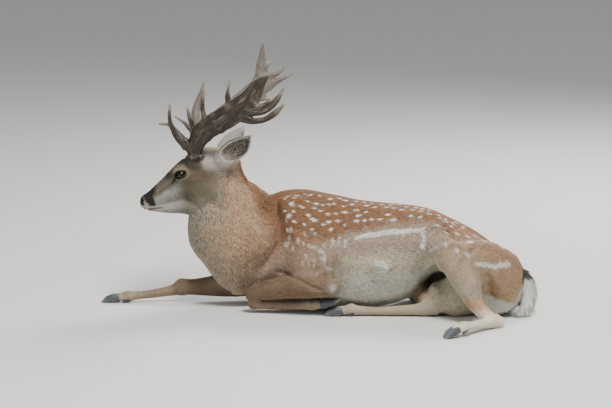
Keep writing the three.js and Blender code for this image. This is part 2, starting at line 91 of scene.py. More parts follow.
# ---------------------------------------------------------------- implicit shapes
FAR = 500.0  # the distance given to points that a shape doesn't reach
CULL = 45.0  # how far outside its surface a shape is worked out
TINY = 1e-9
SPAN_STEPS = 3  # straight spans between two stations of a curve
UPRIGHT_STEPS = 10
JOINT_CAP = 0.35  # how far a span's oval runs past its ends, as a share of its radius


def refine(stations, steps=SPAN_STEPS):
    """A smooth curve through stations: x, y, z, the radii up and across, and the roll in degrees if any."""
    full = np.array([[*s, 0][:6] for s in stations], float)
    pad = np.vstack([full[:1], full, full[-1:]])
    out = []
    for i in range(len(full) - 1):
        a, b, c, d = pad[i:i + 4]
        for j in range(steps):
            t = j / steps
            bend = 2 * a - 5 * b + 4 * c - d + (3 * b - 3 * c + d - a) * t
            out.append(b + 0.5 * t * (c - a + t * bend))
    out.append(full[-1])
    return np.array(out)


def unit(v):
    v = np.asarray(v, float)
    return v / np.maximum(np.linalg.norm(v, axis=-1, keepdims=True), TINY)


def across(direction, up, roll=0.0):
    """The two directions across a span: the one nearest to up, turned by roll, and the one beside it."""
    flat = unit(up - direction * np.dot(up, direction))
    side = np.cross(direction, flat)
    roll = math.radians(roll)
    tall = flat * math.cos(roll) - side * math.sin(roll)
    return tall, np.cross(direction, tall)


def within(points, low, high):
    keep = (points[:, 0] > low[0]) & (points[:, 0] < high[0])
    keep &= (points[:, 1] > low[1]) & (points[:, 1] < high[1])
    keep &= (points[:, 2] > low[2]) & (points[:, 2] < high[2])
    return np.flatnonzero(keep)


def oval_distance(h, w, past, rh, rw, rp, at_middle):
    """About how far a point is from an oval with three radii, less than 0 inside it."""
    k = np.sqrt((h / rh) ** 2 + (w / rw) ** 2 + (past / rp) ** 2)
    slope = np.sqrt((h / rh**2) ** 2 + (w / rw**2) ** 2 + (past / rp**2) ** 2)
    return np.where(slope < TINY, at_middle, k * (k - 1) / np.maximum(slope, TINY))


class Strand:
    """A limb, neck or tine: an oval section that changes along a curve."""

    def __init__(self, stations, up=(0, 0, 1), caps=(None, None), steps=SPAN_STEPS):
        fine = refine(stations, steps)
        self.spans = []
        self.low, self.high = np.full(3, np.inf), np.full(3, -np.inf)
        up = np.array(up, float)
        last = len(fine) - 2
        reach = 0.0
        caps = [end[3:5].min() if cap is None else cap for cap, end in zip(caps, (fine[0], fine[-1]))]
        for i, (a, b) in enumerate(zip(fine, fine[1:])):
            along = b[:3] - a[:3]
            length = np.linalg.norm(along)
            along = along / length
            tall, wide = across(along, up, (a[5] + b[5]) / 2)
            inner = min(a[3], a[4], b[3], b[4]) * JOINT_CAP
            start = inner if i else caps[0]
            end = inner if i < last else caps[1]
            big = max(a[3], a[4], b[3], b[4]) + CULL
            low = np.minimum(a[:3], b[:3]) - big
            high = np.maximum(a[:3], b[:3]) + big
            self.low, self.high = np.minimum(self.low, low), np.maximum(self.high, high)
            self.spans.append((a, b, along, length, tall, wide, start, end, low, high, reach))
            reach += length
        self.length = reach

    def __call__(self, points, lie=False):
        """The distance, and with lie the nearest span's direction, the way along it and the turn round it."""
        out = np.full(len(points), FAR)
        if lie:
            way = np.zeros((len(points), 3))
            place = np.zeros((len(points), 2))
        mine = within(points, self.low, self.high)
        sub = points[mine]
        best = np.full(len(mine), FAR)
        for a, b, along, length, tall, wide, start, end, low, high, reach in self.spans:
            near = within(sub, low, high)
            if not len(near):
                continue
            d = sub[near] - a[:3]
            s = d @ along
            t = np.clip(s / length, 0, 1)
            past = s - t * length
            h = d @ tall
            w = d @ wide
            rh = a[3] + t * (b[3] - a[3])
            rw = a[4] + t * (b[4] - a[4])
            rp = np.where(past < 0, start, end)
            value = oval_distance(h, w, past, rh, rw, rp, -rp)
            closer = value < best[near]
            took = near[closer]
            best[took] = value[closer]
            if lie:
                way[mine[took]] = along
                place[mine[took], 0] = reach + s[closer]
                place[mine[took], 1] = np.arctan2(w[closer], h[closer])
        out[mine] = best
        return (out, way, place) if lie else out


def in_section(table, x, y, z):
    """A point's height and width from the middle of the oval section at x, and the section's radii."""
    yc, zc, rh, rw, roll = (np.interp(x, table[:, 0], table[:, k]) for k in range(1, 6))
    c, s = np.cos(np.radians(roll)), np.sin(np.radians(roll))
    dy, dz = y - yc, z - zc
    return dy * s + dz * c, dz * s - dy * c, rh, rw


def upright(stations, caps):
    """A body whose oval sections all stand across X, as the ribs do, however its middle line rises."""
    fine = refine(stations, UPRIGHT_STEPS)

    def shape(points):
        x, y, z = points.T
        inside = np.clip(x, fine[0, 0], fine[-1, 0])
        past = x - inside
        h, w, rh, rw = in_section(fine, inside, y, z)
        rp = np.where(past < 0, caps[0], caps[1])
        return oval_distance(h, w, past, rh, rw, rp, -rp)

    return shape


def blob(centre, radii, tilt=0.0):
    """An oval body, tilted about Y by so many degrees."""
    cos, sin = math.cos(math.radians(tilt)), math.sin(math.radians(tilt))
    a, b, c = radii
    reach = max(radii) + CULL
    low, high = np.array(centre) - reach, np.array(centre) + reach

    def shape(points):
        out = np.full(len(points), FAR)
        near = within(points, low, high)
        d = points[near] - centre
        x = d[:, 0] * cos - d[:, 2] * sin
        z = d[:, 0] * sin + d[:, 2] * cos
        out[near] = oval_distance(x, d[:, 1], z, a, b, c, -min(radii))
        return out

    return shape


def pair(x, y, z, radii, tilt=0.0):
    """The same blob on both sides."""
    return [blob([x, side * y, z], radii, tilt) for side in (-1, 1)]


def soft_min(k, a, b):
    h = np.maximum(k - np.abs(a - b), 0) / k
    return np.minimum(a, b) - h * h * k / 4


def soft_max(k, a, b):
    return -soft_min(k, -a, -b)


def blend(k, *shapes):
    def shape(points):
        out = shapes[0](points)
        for other in shapes[1:]:
            out = soft_min(k, out, other(points))
        return out

    return shape


def smooth_step(x, low, high):
    t = np.clip((x - low) / (high - low), 0, 1)
    return t * t * (3 - 2 * t)


def line_distance(x, z, line):
    """How far points of a flat view are from a polyline, and where along it, 0 to 1, they are nearest."""
    best = np.full(len(x), np.inf)
    share = np.zeros(len(x))
    line = np.array(line, float)
    steps = len(line) - 1
    for i in range(steps):
        (x0, z0), (x1, z1) = line[i, :2], line[i + 1, :2]
        dx, dz = x1 - x0, z1 - z0
        t = np.clip(((x - x0) * dx + (z - z0) * dz) / (dx * dx + dz * dz), 0, 1)
        d = np.hypot(x - x0 - t * dx, z - z0 - t * dz)
        closer = d < best
        best = np.where(closer, d, best)
        share = np.where(closer, (i + t) / steps, share)
    return best, share


def ridge(x, z, line, width, fade=0.18):
    """1 on a line of a flat view and 0 away from it, dying out towards both ends."""
    d, share = line_distance(x, z, line)
    ends = smooth_step(share, 0, fade) * smooth_step(1 - share, 0, fade)
    return np.exp(-((d / width) ** 2)) * ends


def bell(x, z, middle, radii):
    """1 in the middle of an oval of a flat view, dying out over its radii."""
    return np.exp(-(((x - middle[0]) / radii[0]) ** 2) - ((z - middle[1]) / radii[1]) ** 2)


def glow(points, middle, radius):
    """1 at one point in space, dying out over the radius."""
    return np.exp(-((np.linalg.norm(points - middle, axis=1) / radius) ** 2))


# ---------------------------------------------------------------- the body's shapes
TRUNK = [
    [-300, 0, 128, 86, 66, 0], [-250, 0, 172, 150, 84, 0], [-200, 0, 192, 182, 100, 0],
    [-115, 0, 194, 196, 121, 0], [-17, 0, 187, 189, 141, 0], [65, 0, 179, 180, 158, 6],
    [146, 0, 180, 171, 170, 12], [243, 5, 192, 151, 168, 16], [300, 8, 218, 114, 160, 17],
    [345, 10, 219, 96, 148, 18], [437, 15, 186, 84, 134, 18], [500, 18, 160, 68, 114, 15],
    [545, 18, 134, 56, 96, 12], [570, 18, 117, 48, 80, 10],
]
NECK = [
    [-342, 0, 472, 34, 42], [-342, 0, 446, 42, 54], [-340, 0, 418, 52, 66], [-334, 0, 388, 64, 78],
    [-322, 0, 352, 94, 92], [-314, 0, 312, 129, 102], [-328, 0, 266, 154, 112], [-334, 0, 229, 152, 115],
    [-330, 0, 182, 130, 112], [-326, 0, 141, 101, 100], [-318, 0, 101, 77, 84], [-306, 0, 68, 48, 60],
]
MUZZLE = [
    [-232, 0, -84, 24, 23], [-205, 0, -73, 33, 28], [-170, 0, -54, 42, 34], [-130, 0, -32, 56, 43],
    [-90, 0, -6, 64, 52],
]
JAW = [
    [-229, 0, -106, 10, 16], [-190, 0, -108, 15, 22], [-140, 0, -104, 22, 27], [-80, 0, -90, 31, 35],
    [-25, 0, -62, 41, 44],
]
THIGH_LEFT = [
    [545, -84, 138, 80, 62], [498, -120, 166, 86, 66], [448, -158, 188, 76, 58], [404, -188, 202, 50, 44],
]
THIGH_RIGHT = [
    [540, 78, 95, 80, 62], [450, 112, 85, 87, 58], [350, 132, 70, 70, 54], [268, 140, 58, 58, 50],
]
SHANK_LEFT = [
    [392, -194, 204, 44, 38], [422, -204, 164, 44, 36], [449, -214, 118, 40, 32], [466, -224, 80, 30, 26],
    [491, -238, 50, 23, 20], [524, -256, 27, 22, 20],
]
SHANK_RIGHT = [
    [262, 138, 56, 54, 48], [276, 60, 48, 44, 38], [296, -40, 38, 32, 27], [310, -96, 28, 24, 20],
]
FOREARM_LEFT = [
    [4, -152, 97, 33, 28], [-60, -147, 99, 41, 32], [-120, -140, 95, 40, 31], [-180, -132, 84, 35, 28],
    [-235, -124, 72, 29, 26], [-252, -120, 60, 27, 25],
]
CANNON_FORE_LEFT = [
    [-248, -114, 34, 24, 22], [-222, -113, 28, 16, 16], [-140, -113, 26, 14, 13.5],
    [-82, -115, 29, 15, 15], [-58, -116, 31, 18, 17],
]
FOREARM_RIGHT = [
    [-255, 84, 74, 48, 40], [-310, 71, 62, 47, 38], [-370, 56, 57, 42, 34], [-420, 43, 53, 34, 28],
    [-470, 33, 51, 28, 25], [-506, 27, 52, 28, 26],
]
CANNON_FORE_RIGHT = [
    [-510, 26, 50, 26, 25], [-545, 22, 39, 18, 17], [-600, 15, 29, 14.5, 14], [-650, 8, 23, 14, 13.5],
    [-686, 4, 20, 17, 16],
]
CANNON_HIND_LEFT = [
    [552, -250, 20, 15, 14], [530, -258, 24, 25, 20], [502, -296, 22, 16, 15], [466, -354, 25, 14.5, 14],
    [446, -388, 29, 18, 17],
]
CANNON_HIND_RIGHT = [
    [330, -104, 24, 17, 16], [304, -104, 26, 24, 20], [262, -108, 22, 17, 16],
    [160, -118, 18, 13.5, 13.5], [92, -123, 19, 15, 14], [66, -125, 21, 18, 17],
]
TAIL = [
    [600, 8, 136, 15, 17], [616, 0, 116, 17, 20], [626, -15, 88, 20, 24], [627, -34, 56, 21, 25],
    [619, -52, 28, 19, 22], [608, -64, 14, 12, 14],
]
EARS = {
    "left": [
        [2, 48, 52, 20, 15], [24, 61, 68, 29, 16], [46, 72, 82, 34, 16], [68, 82, 96, 33, 13],
        [87, 90, 113, 22, 10], [103, 96, 130, 4, 4],
    ],
    "right": [
        [0, 50, 68, 15, 14], [18, 62, 90, 23, 15], [38, 75, 109, 24, 15], [57, 86, 126, 19, 13],
        [72, 92, 140, 12, 9], [80, 96, 148, 4, 4],
    ],
}
EAR_WALL = 5.5  # thickness
# A foot: where its fetlock is, the way its toes point, the way its front faces, and its size.
FEET = {
    "foreleg_left": (CANNON_FORE_LEFT[-1][:3], [1, -0.02, 0.05], [0, 0, -1], 0.96),
    "foreleg_right": (CANNON_FORE_RIGHT[-1][:3], [-1, -0.05, -0.11], [0, 0, 1], 1),
    "hindleg_left": (CANNON_HIND_LEFT[-1][:3], [-0.75, -0.62, -0.16], [0, 0, 1], 0.87),
    "hindleg_right": (CANNON_HIND_RIGHT[-1][:3], [-1, -0.08, -0.1], [0, 0, 1], 1),
}
PASTERN_LENGTH = 40
CLAW = {"start": 34, "end": 90, "tall": 15, "wide": 10.5, "apart": 10}
DEWCLAW = {"back": 15, "apart": 10, "length": 14, "radius": 6}


def foot_frame(fetlock, toe, dorsal, size):
    """Turns (along the toe, towards the front, sideways) into a point."""
    along = unit(toe)
    up, side = across(along, np.array(dorsal, float))

    def at(a, u, s):
        return np.array(fetlock) + size * (along * a + up * u + side * s)

    return at, along, up, side


def side_of(stations, way):
    """Stations given for the right side, way 1, on either side."""
    return [[s[0], way * s[1], *s[2:]] for s in stations]


trunk_shape = upright(TRUNK, caps=(50, 38))
neck_strand = Strand(NECK, up=(-1, 0, 0), caps=(20, 30), steps=7)
muzzle_strand = Strand(MUZZLE)
jaw_strand = Strand(JAW)
thigh_left_strand = Strand(THIGH_LEFT)
thigh_right_strand = Strand(THIGH_RIGHT)
tail_strand = Strand(TAIL, up=(1, 0, 0))
TRUNK_EXTRAS = [
    blob([528, -22, 64], [84, 82, 67]),
    *pair(-118, 64, 268, [68, 48, 108], -12),
    *pair(-62, 106, 190, [86, 48, 92]),
    blob([166, -170, 172], [26, 13, 12], 12),
]
NECK_EXTRA = blob([-252, 0, 242], [92, 119, 118])
THIGH_EXTRA = blob([538, -88, 108], [62, 58, 80], 12)
# the fold of skin from the flank to the stifle
FLANK_FOLD = [
    [322, -104, 236, 40, 26], [356, -142, 226, 44, 30], [398, -172, 210, 46, 36],
]
flank_fold = Strand(FLANK_FOLD)
GROIN = [
    blob([398, -92, 48], [42, 34, 46]),
    blob([430, -60, 76], [84, 66, 76]),
    blob([352, -60, 60], [50, 60, 56]),
]
HEAD_EXTRAS = [
    blob([-30, 0, 18], [86, 57, 74]),
    blob([-241, 0, -88], [14, 22, 19], 20),
    *pair(-52, 30, -46, [54, 27, 46]),
    *pair(-116, 38, 8, [34, 20, 24], 20),
    *pair(22, 46, 48, [30, 22, 28]),
    *pair(-76, 38, 44, [21, 20, 22]),
]
LIMB_STRANDS = {
    "shank": [Strand(SHANK_LEFT, up=(1, 0, 0)), Strand(SHANK_RIGHT)],
    "forearm": [Strand(FOREARM_LEFT), Strand(FOREARM_RIGHT)],
    "cannon": [
        Strand(s) for s in (CANNON_FORE_LEFT, CANNON_FORE_RIGHT, CANNON_HIND_LEFT, CANNON_HIND_RIGHT)
    ],
    "pastern": [],
}
for fetlock, toe, dorsal, size in FEET.values():
    at, along, up, side = foot_frame(fetlock, toe, dorsal, size)
    core = [
        [*at(-6, 0, 0), 17 * size, 17 * size],
        [*at(16, 0, 0), 15 * size, 17 * size],
        [*at(PASTERN_LENGTH + 2, -2, 0), 14.5 * size, 19 * size],
    ]
    LIMB_STRANDS["pastern"].append(Strand(core, up=up, caps=(None, 8)))

EAR_UP = {way: np.array([-0.62, way * 0.1, 0.78]) for way in (-1, 1)}
EAR_OPEN = {way: np.array([0.34, way * 0.82, -0.12]) for way in (-1, 1)}
ear_strands, ear_hollows = {}, {}
SIDES = (("left", -1), ("right", 1))
for name, way in SIDES:
    leaf = side_of(EARS[name], way)
    ear_strands[way] = Strand(leaf, up=EAR_UP[way])
    hollow = []
    for i, (x, y, z, tall, wide) in enumerate(leaf[1:]):
        shift = EAR_WALL + wide * 0.55 + i
        centre = np.array([x, y, z]) + EAR_OPEN[way] * shift
        hollow.append([*centre, max(tall - EAR_WALL, 2), max(wide, 6)])
    ear_hollows[way] = Strand(hollow, up=EAR_UP[way])

# ---------------------------------------------------------------- the flesh as one field
PARTS = ["trunk", "neck", "head", "ear", "thigh", "shank", "forearm", "cannon", "pastern", "groin", "tail"]
# How far the bare skin lies below the flesh's outside, and how softly each part runs into the ones before it.
COAT_DEPTH = dict(
    trunk=6, neck=8, head=2.2, ear=1.2, thigh=5.5, shank=3.5, forearm=4, cannon=2, pastern=1.6,
    groin=6, tail=11,
)
JOIN = dict(
    trunk=20, neck=26, head=38, ear=12, thigh=54, shank=34, forearm=30, cannon=10, pastern=6,
    groin=34, tail=12,
)
# The same for the pieces that one part is made of.
INNER_JOIN = dict(trunk=26, neck=20, head=16, ear=2.5, haunch=22, flank=30, groin=30)
EYE_RADIUS = 17.0
MOUTH = {"front": -240, "height": -113, "slope": math.tan(math.radians(8))}


def part_distances(points):
    """How far points are from each part of the flesh, and the same points in the head's frame."""
    local = to_head(points)
    trunk = blend(INNER_JOIN["trunk"], trunk_shape, *TRUNK_EXTRAS)(points)
    neck = blend(INNER_JOIN["neck"], neck_strand, NECK_EXTRA)(points)
    head = blend(INNER_JOIN["head"], muzzle_strand, jaw_strand, *HEAD_EXTRAS)(local)
    ear = np.full(len(points), FAR)
    for way in (-1, 1):
        leaf = soft_max(INNER_JOIN["ear"], ear_strands[way](local), -ear_hollows[way](local))
        ear = np.minimum(ear, leaf)
    thigh = blend(INNER_JOIN["haunch"], thigh_left_strand, THIGH_EXTRA)(points)
    thigh = soft_min(INNER_JOIN["flank"], thigh, flank_fold(points))
    thigh = np.minimum(thigh, thigh_right_strand(points))
    found = dict(trunk=trunk, neck=neck, head=head, ear=ear, thigh=thigh)
    for name, strands in LIMB_STRANDS.items():
        found[name] = np.min([s(points) for s in strands], 0)
    found["groin"] = blend(INNER_JOIN["groin"], *GROIN)(points)
    found["tail"] = tail_strand(points)
    return found, local


# the way the right eye looks, and the directions across it: towards its inner corner, and up
eye_gaze = unit([-0.26, 1.0, 0.10])
EYE_TILT = math.radians(17)
EYE_HALF = (17.5, 10.0)  # half the length and height of the opening between the lids
eye_corner = np.array([-math.cos(EYE_TILT), 0, -math.sin(EYE_TILT)])
eye_corner = unit(eye_corner - eye_gaze * np.dot(eye_corner, eye_gaze))
eye_lid = np.cross(eye_gaze, eye_corner)
eye_lid = eye_lid if eye_lid[2] > 0 else -eye_lid


def folded(local):
    """Points of the head with its left side laid over its right."""
    return np.stack([local[:, 0], np.abs(local[:, 1]), local[:, 2]], 1)


def eye_frame(local):
    """Points of the head as an eye sees them: along its gaze, towards its inner corner, up, and how far."""
    q = folded(local) - EYE_AT
    return q @ eye_gaze, q @ eye_corner, q @ eye_lid, np.linalg.norm(q, axis=1)


def eye_opening(u, v):
    """Below 0 inside the almond between the lids."""
    top = np.where(v > 0, EYE_HALF[1], EYE_HALF[1] * 0.9)
    return np.abs(v) - top * (1 - (u / EYE_HALF[0]) ** 2)


def lip_line(x):
    """The height of the line of the mouth."""
    return MOUTH["height"] + (x - MOUTH["front"]) * MOUTH["slope"]


# Bones and hollows of the face, in side view: height, width and line.
FACE_RIDGES = [
    (2.2, 8, [(-148, -26), (-112, -24), (-78, -14), (-40, -4)]),
    (-2.6, 11, [(-150, -44), (-176, -52), (-205, -66)]),
    (-2.2, 12, [(-100, 34), (-70, 14), (-50, 24)]),
    (-2.0, 9, [(-110, -62), (-84, -86), (-84, -104)]),
    (1.8, 11, [(-74, -96), (-30, -66), (-10, -30)]),
]


def sculpt_head(d, local):
    """The head's distance with the fine forms of the face worked in."""
    near = np.flatnonzero((local[:, 0] < 60) & (local[:, 0] > -275) & (local[:, 2] > -145) & (d < 30))
    p = local[near]
    x, y, z = folded(p).T
    h = d[near]
    side = smooth_step(y, 8, 20)
    for height, width, line in FACE_RIDGES:
        h -= height * side * ridge(x, z, line, width)
    h -= 1.6 * smooth_step(9 - y, 0, 6) * ridge(x, z, [(-215, -50), (-150, -4), (-110, 30)], 16)
    # the lids stand round the eyeball, and open in an almond
    gaze, u, v, r = eye_frame(p)
    h = soft_min(9, h, r - (EYE_RADIUS + 2.6))
    h -= 2.4 * (bell(v, u, (14, 1), (4.5, 17)) * (gaze > 0))
    crease = v - 9.6 * (1 - (u / 23) ** 2) - 4.2
    fold = np.exp(-((crease / 1.3) ** 2)) * smooth_step(20 - np.abs(u), 0, 6)
    h += 1.1 * fold * (gaze > 0) * (r < EYE_RADIUS + 9)
    opening = np.maximum(np.maximum(eye_opening(u, v) * 0.8, 5 - gaze), EYE_RADIUS - 2.5 - r)
    h = soft_max(1.2, h, -opening)
    # tear duct and the slit of the gland before the eye
    h += 3.2 * side * ridge(x, z, [(-133, -3), (-139, -8), (-146, -19), (-151, -30)], 2.6, 0.3)
    h -= 1.0 * side * ridge(x, z, [(-128, -12), (-137, -22), (-145, -34)], 3.5, 0.3)
    # nostrils: a round front with a slit that runs back and out
    pit = np.sqrt(((x + 249) / 8.5) ** 2 + ((y - 13.5) / 4.6) ** 2 + ((z + 86) / 5.5) ** 2)
    h = np.maximum(h, (1 - pit) * 5)
    h += 3.0 * smooth_step(y, 8, 15) * ridge(x, z, [(-250, -84), (-241, -80), (-233, -84)], 2.4, 0.3)
    h -= 1.6 * smooth_step(y, 6, 14) * ridge(x, z, [(-249, -76), (-238, -73), (-229, -79)], 4, 0.3)
    h += 1.6 * np.exp(-((y / 1.6) ** 2)) * smooth_step(-x, 240, 247) * smooth_step(-z, 82, 92)
    # the line of the mouth
    lip = lip_line(x)
    seam = np.exp(-(((z - lip) / 1.7) ** 2)) * smooth_step(-x, 172, 190)
    h += 3.4 * seam
    h -= 1.1 * np.exp(-(((z - lip + 6) / 3.5) ** 2)) * smooth_step(-x, 190, 215)
    out = d.copy()
    out[near] = h
    return out


# Folds and hollows of the body, in side view: the side they are on (-1 left, 1 right, 0 both), depth, width,
# how far they die out at the ends, and their line.
FOLDS = [
    (0, 9, 15, 0.2, [(-206, 372), (-186, 330), (-168, 290), (-170, 232), (-206, 172), (-246, 112)]),
    (0, 4, 9, 0.25, [(-232, 372), (-214, 330), (-203, 290), (-204, 250)]),
    (0, 3, 8, 0.25, [(-258, 372), (-238, 335), (-226, 300)]),
    (0, -5, 15, 0.2, [(-190, 372), (-150, 340), (-128, 290), (-128, 232)]),
    (0, 4, 16, 0.25, [(-74, 300), (-84, 250), (-96, 205)]),
    (-1, 6, 10, 0.2, [(14, 205), (16, 160), (10, 118), (14, 92)]),
    (-1, 4, 8, 0.25, [(-22, 180), (-16, 150), (-10, 116)]),
    (-1, -4, 12, 0.25, [(-66, 196), (-34, 160), (-20, 122)]),
    (-1, 6, 7, 0.2, [(-190, 140), (-163, 134), (-96, 120), (-44, 99), (-10, 86)]),
    (-1, 4, 22, 0.3, [(322, 240), (332, 214), (338, 188)]),
    (-1, 4, 20, 0.3, [(440, 240), (462, 222), (490, 206)]),
    (-1, -4, 10, 0.2, [(338, 214), (310, 166), (276, 126), (246, 92)]),
    (-1, 12, 20, 0.25, [(352, 180), (356, 150), (350, 112), (338, 80)]),
    (-1, 7, 18, 0.3, [(330, 130), (306, 92), (296, 62)]),
    (-1, 11, 10, 0.25, [(492, 176), (510, 146), (511, 106), (524, 70)]),
    (-1, -5, 14, 0.25, [(536, 146), (540, 112), (546, 84)]),
    (-1, -3, 8, 0.25, [(426, 236), (404, 196), (412, 150)]),
]


def sculpt_body(d, points):
    """The body's distance with its folds and hollows worked in."""
    near = np.flatnonzero((points[:, 0] > -290) & (np.abs(d) < 40))
    x, y, z = points[near].T
    h = d[near]
    for way, depth, width, fade, line in FOLDS:
        line = np.array(line, float)
        low, high = line.min(0) - 3 * width, line.max(0) + 3 * width
        mine = np.flatnonzero((x > low[0]) & (x < high[0]) & (z > low[1]) & (z < high[1]))
        from_spine = y[mine] * way if way else np.abs(y[mine])
        h[mine] += depth * ridge(x[mine], z[mine], line, width, fade) * smooth_step(from_spine, 20, 70)
    out = d.copy()
    out[near] = h
    return out


def shares_of(found, softness=8):
    """How much each part of the body counts at each point; the shares add up to 1."""
    stack = np.stack([found[name] for name in PARTS])
    weight = np.exp(-(stack - stack.min(0)) / softness)
    return weight / weight.sum(0)


FLOOR_LEVEL = 2.5  # the skin's underside is flat at this height


def skin_field(points):
    """The bare skin: the flesh less the depth of the coat, with its folds."""
    found, local = part_distances(points)
    share = shares_of(found)
    d = found["trunk"]
    for name in PARTS[1:]:
        d = soft_min(JOIN[name], d, found[name])
    d = d + np.array([COAT_DEPTH[name] for name in PARTS]) @ share
    d = sculpt_body(sculpt_head(d, local), points)
    return soft_max(3, d, FLOOR_LEVEL - points[:, 2])


# ---------------------------------------------------------------- meshing a field
NET_POINTS = 400000  # worked out at a time
NET_REACH = (1.5, 12)  # a block counts within this share of its half diagonal, and mm more, of the surface


def surface_nets(field, axes, block=6):
    """A closed mesh of field(points) = 0 on a grid whose lines may be unevenly spaced."""
    shape = [len(a) for a in axes]
    values = np.full(shape, FAR, np.float32)
    starts = [np.arange(0, n - 1, block) for n in shape]
    middles = [a[np.minimum(s + block // 2, len(a) - 1)] for a, s in zip(axes, starts)]
    spans = [a[np.minimum(s + block, len(a) - 1)] - a[s] for a, s in zip(axes, starts)]
    mx, my, mz = np.meshgrid(*middles, indexing="ij")
    sx, sy, sz = np.meshgrid(*spans, indexing="ij")
    coarse = field(np.stack([mx.ravel(), my.ravel(), mz.ravel()], 1)).reshape(mx.shape)
    half = np.sqrt(sx**2 + sy**2 + sz**2) / 2
    active = np.abs(coarse) < half * NET_REACH[0] + NET_REACH[1]
    for i, j, k in zip(*np.nonzero(~active & (coarse < 0))):
        a, b, c = starts[0][i], starts[1][j], starts[2][k]
        values[a:a + block, b:b + block, c:c + block] = -FAR
    grid = np.arange(block)
    gi, gj, gk = np.meshgrid(grid, grid, grid, indexing="ij")
    ai, aj, ak = np.nonzero(active)
    ii = (starts[0][ai][:, None] + gi.ravel()).ravel()
    jj = (starts[1][aj][:, None] + gj.ravel()).ravel()
    kk = (starts[2][ak][:, None] + gk.ravel()).ravel()
    ok = (ii < shape[0]) & (jj < shape[1]) & (kk < shape[2])
    ii, jj, kk = ii[ok], jj[ok], kk[ok]
    for start in range(0, len(ii), NET_POINTS):
        s = slice(start, start + NET_POINTS)
        points = np.stack([axes[0][ii[s]], axes[1][jj[s]], axes[2][kk[s]]], 1)
        values[ii[s], jj[s], kk[s]] = field(points)
    inside = values < 0
    count = np.zeros([n - 1 for n in shape], np.int8)
    for p in np.ndindex(2, 2, 2):
        count += inside[tuple(slice(o, n - 1 + o) for o, n in zip(p, shape))]
    crossed = np.stack(np.nonzero((count > 0) & (count < 8)), 1)
    index = np.full(count.shape, -1, np.int64)
    index[tuple(crossed.T)] = np.arange(len(crossed))
    total = np.zeros((len(crossed), 3))
    hits = np.zeros(len(crossed))

    def corner(offset):
        at = tuple((crossed + offset).T)
        return values[at], np.stack([axis[i] for axis, i in zip(axes, at)], 1)

    for p in np.ndindex(2, 2, 2):
        for axis in range(3):
            if p[axis]:
                continue
            q = list(p)
            q[axis] = 1
            (vp, pa), (vq, qa) = corner(p), corner(q)
            cross = (vp < 0) != (vq < 0)
            t = np.where(cross, vp / np.where(vp == vq, 1, vp - vq), 0)
            total += np.where(cross[:, None], pa + t[:, None] * (qa - pa), 0)
            hits += cross
    vertices = total / hits[:, None]
    quads = []
    for axis in range(3):
        other = [a for a in range(3) if a != axis]
        lead = [slice(1, n - 1) for n in shape]
        first, second = list(lead), list(lead)
        first[axis], second[axis] = slice(0, shape[axis] - 1), slice(1, shape[axis])
        a, b = inside[tuple(first)], inside[tuple(second)]
        e = np.stack(np.nonzero(a != b), 1)
        for o in other:
            e[:, o] += 1
        flip = a[a != b]
        cells = []
        for du, dv in ((0, 0), (-1, 0), (-1, -1), (0, -1)):
            c = e.copy()
            c[:, other[0]] += du
            c[:, other[1]] += dv
            cells.append(index[c[:, 0], c[:, 1], c[:, 2]])
        quad = np.stack(cells, 1)
        if axis == 1:
            flip = ~flip
        quad[~flip] = quad[~flip][:, ::-1]
        quads.append(quad)
    quads = np.concatenate(quads)
    a, b, c, d = (vertices[quads[:, i]] for i in range(4))
    short = np.linalg.norm(a - c, axis=1) < np.linalg.norm(b - d, axis=1)
    halves = ((short, [0, 1, 2]), (short, [0, 2, 3]), (~short, [0, 1, 3]), (~short, [1, 2, 3]))
    return vertices, np.concatenate([quads[which][:, corners] for which, corners in halves])


def edges_of(triangles):
    return np.concatenate([triangles[:, [0, 1]], triangles[:, [1, 2]], triangles[:, [2, 0]]])


def main_body(vertices, triangles):
    """The largest connected part of a mesh."""
    label = np.arange(len(vertices))
    edges = edges_of(triangles)
    while True:
        low = np.minimum(label[edges[:, 0]], label[edges[:, 1]])
        new = label.copy()
        np.minimum.at(new, edges[:, 0], low)
        np.minimum.at(new, edges[:, 1], low)
        new = new[new]
        if (new == label).all():
            break
        label = new
    ids, counts = np.unique(label, return_counts=True)
    keep = label == ids[counts.argmax()]
    remap = np.cumsum(keep) - 1
    return vertices[keep], remap[triangles[keep[triangles[:, 0]]]]


def refine_mesh(vertices, triangles, size):
    """Splits every edge longer than size(midpoint) once, with no cracks."""
    n = len(vertices)
    edges = edges_of(triangles)
    low, high = edges.min(1), edges.max(1)
    key = low * n + high
    unique, back = np.unique(key, return_inverse=True)
    a, b = unique // n, unique % n
    middle = (vertices[a] + vertices[b]) / 2
    split = np.linalg.norm(vertices[a] - vertices[b], axis=1) > size(middle)
    new = np.where(split, n + np.cumsum(split) - 1, -1)
    vertices = np.vstack([vertices, middle[split]])
    whole = np.hstack([triangles, new[back].reshape(3, -1).T])  # the corners, then the middles of the edges
    out = [triangles[(whole[:, 3:] < 0).all(1)]]

    def cut(rows, *pieces):
        out.extend(rows[:, list(piece)] for piece in pieces)

    for turn in range(3):
        order = [(i + turn) % 3 for i in range(3)]
        turned = whole[:, order + [i + 3 for i in order]]
        kinds = (turned[:, 3:] >= 0) @ np.array([1, 2, 4])
        cut(turned[kinds == 1], (0, 3, 2), (3, 1, 2))
        cut(turned[kinds == 3], (3, 1, 4), (0, 3, 4), (0, 4, 2))
    cut(whole[kinds == 7], (0, 3, 5), (3, 1, 4), (5, 4, 2), (3, 4, 5))
    return vertices, np.concatenate(out)


def vertex_normals(vertices, triangles):
    a, b, c = (vertices[triangles[:, i]] for i in range(3))
    face = np.cross(b - a, c - a)
    out = np.zeros_like(vertices)
    for i in range(3):
        for k in range(3):
            out[:, k] += np.bincount(triangles[:, i], face[:, k], len(vertices))
    return unit(out)


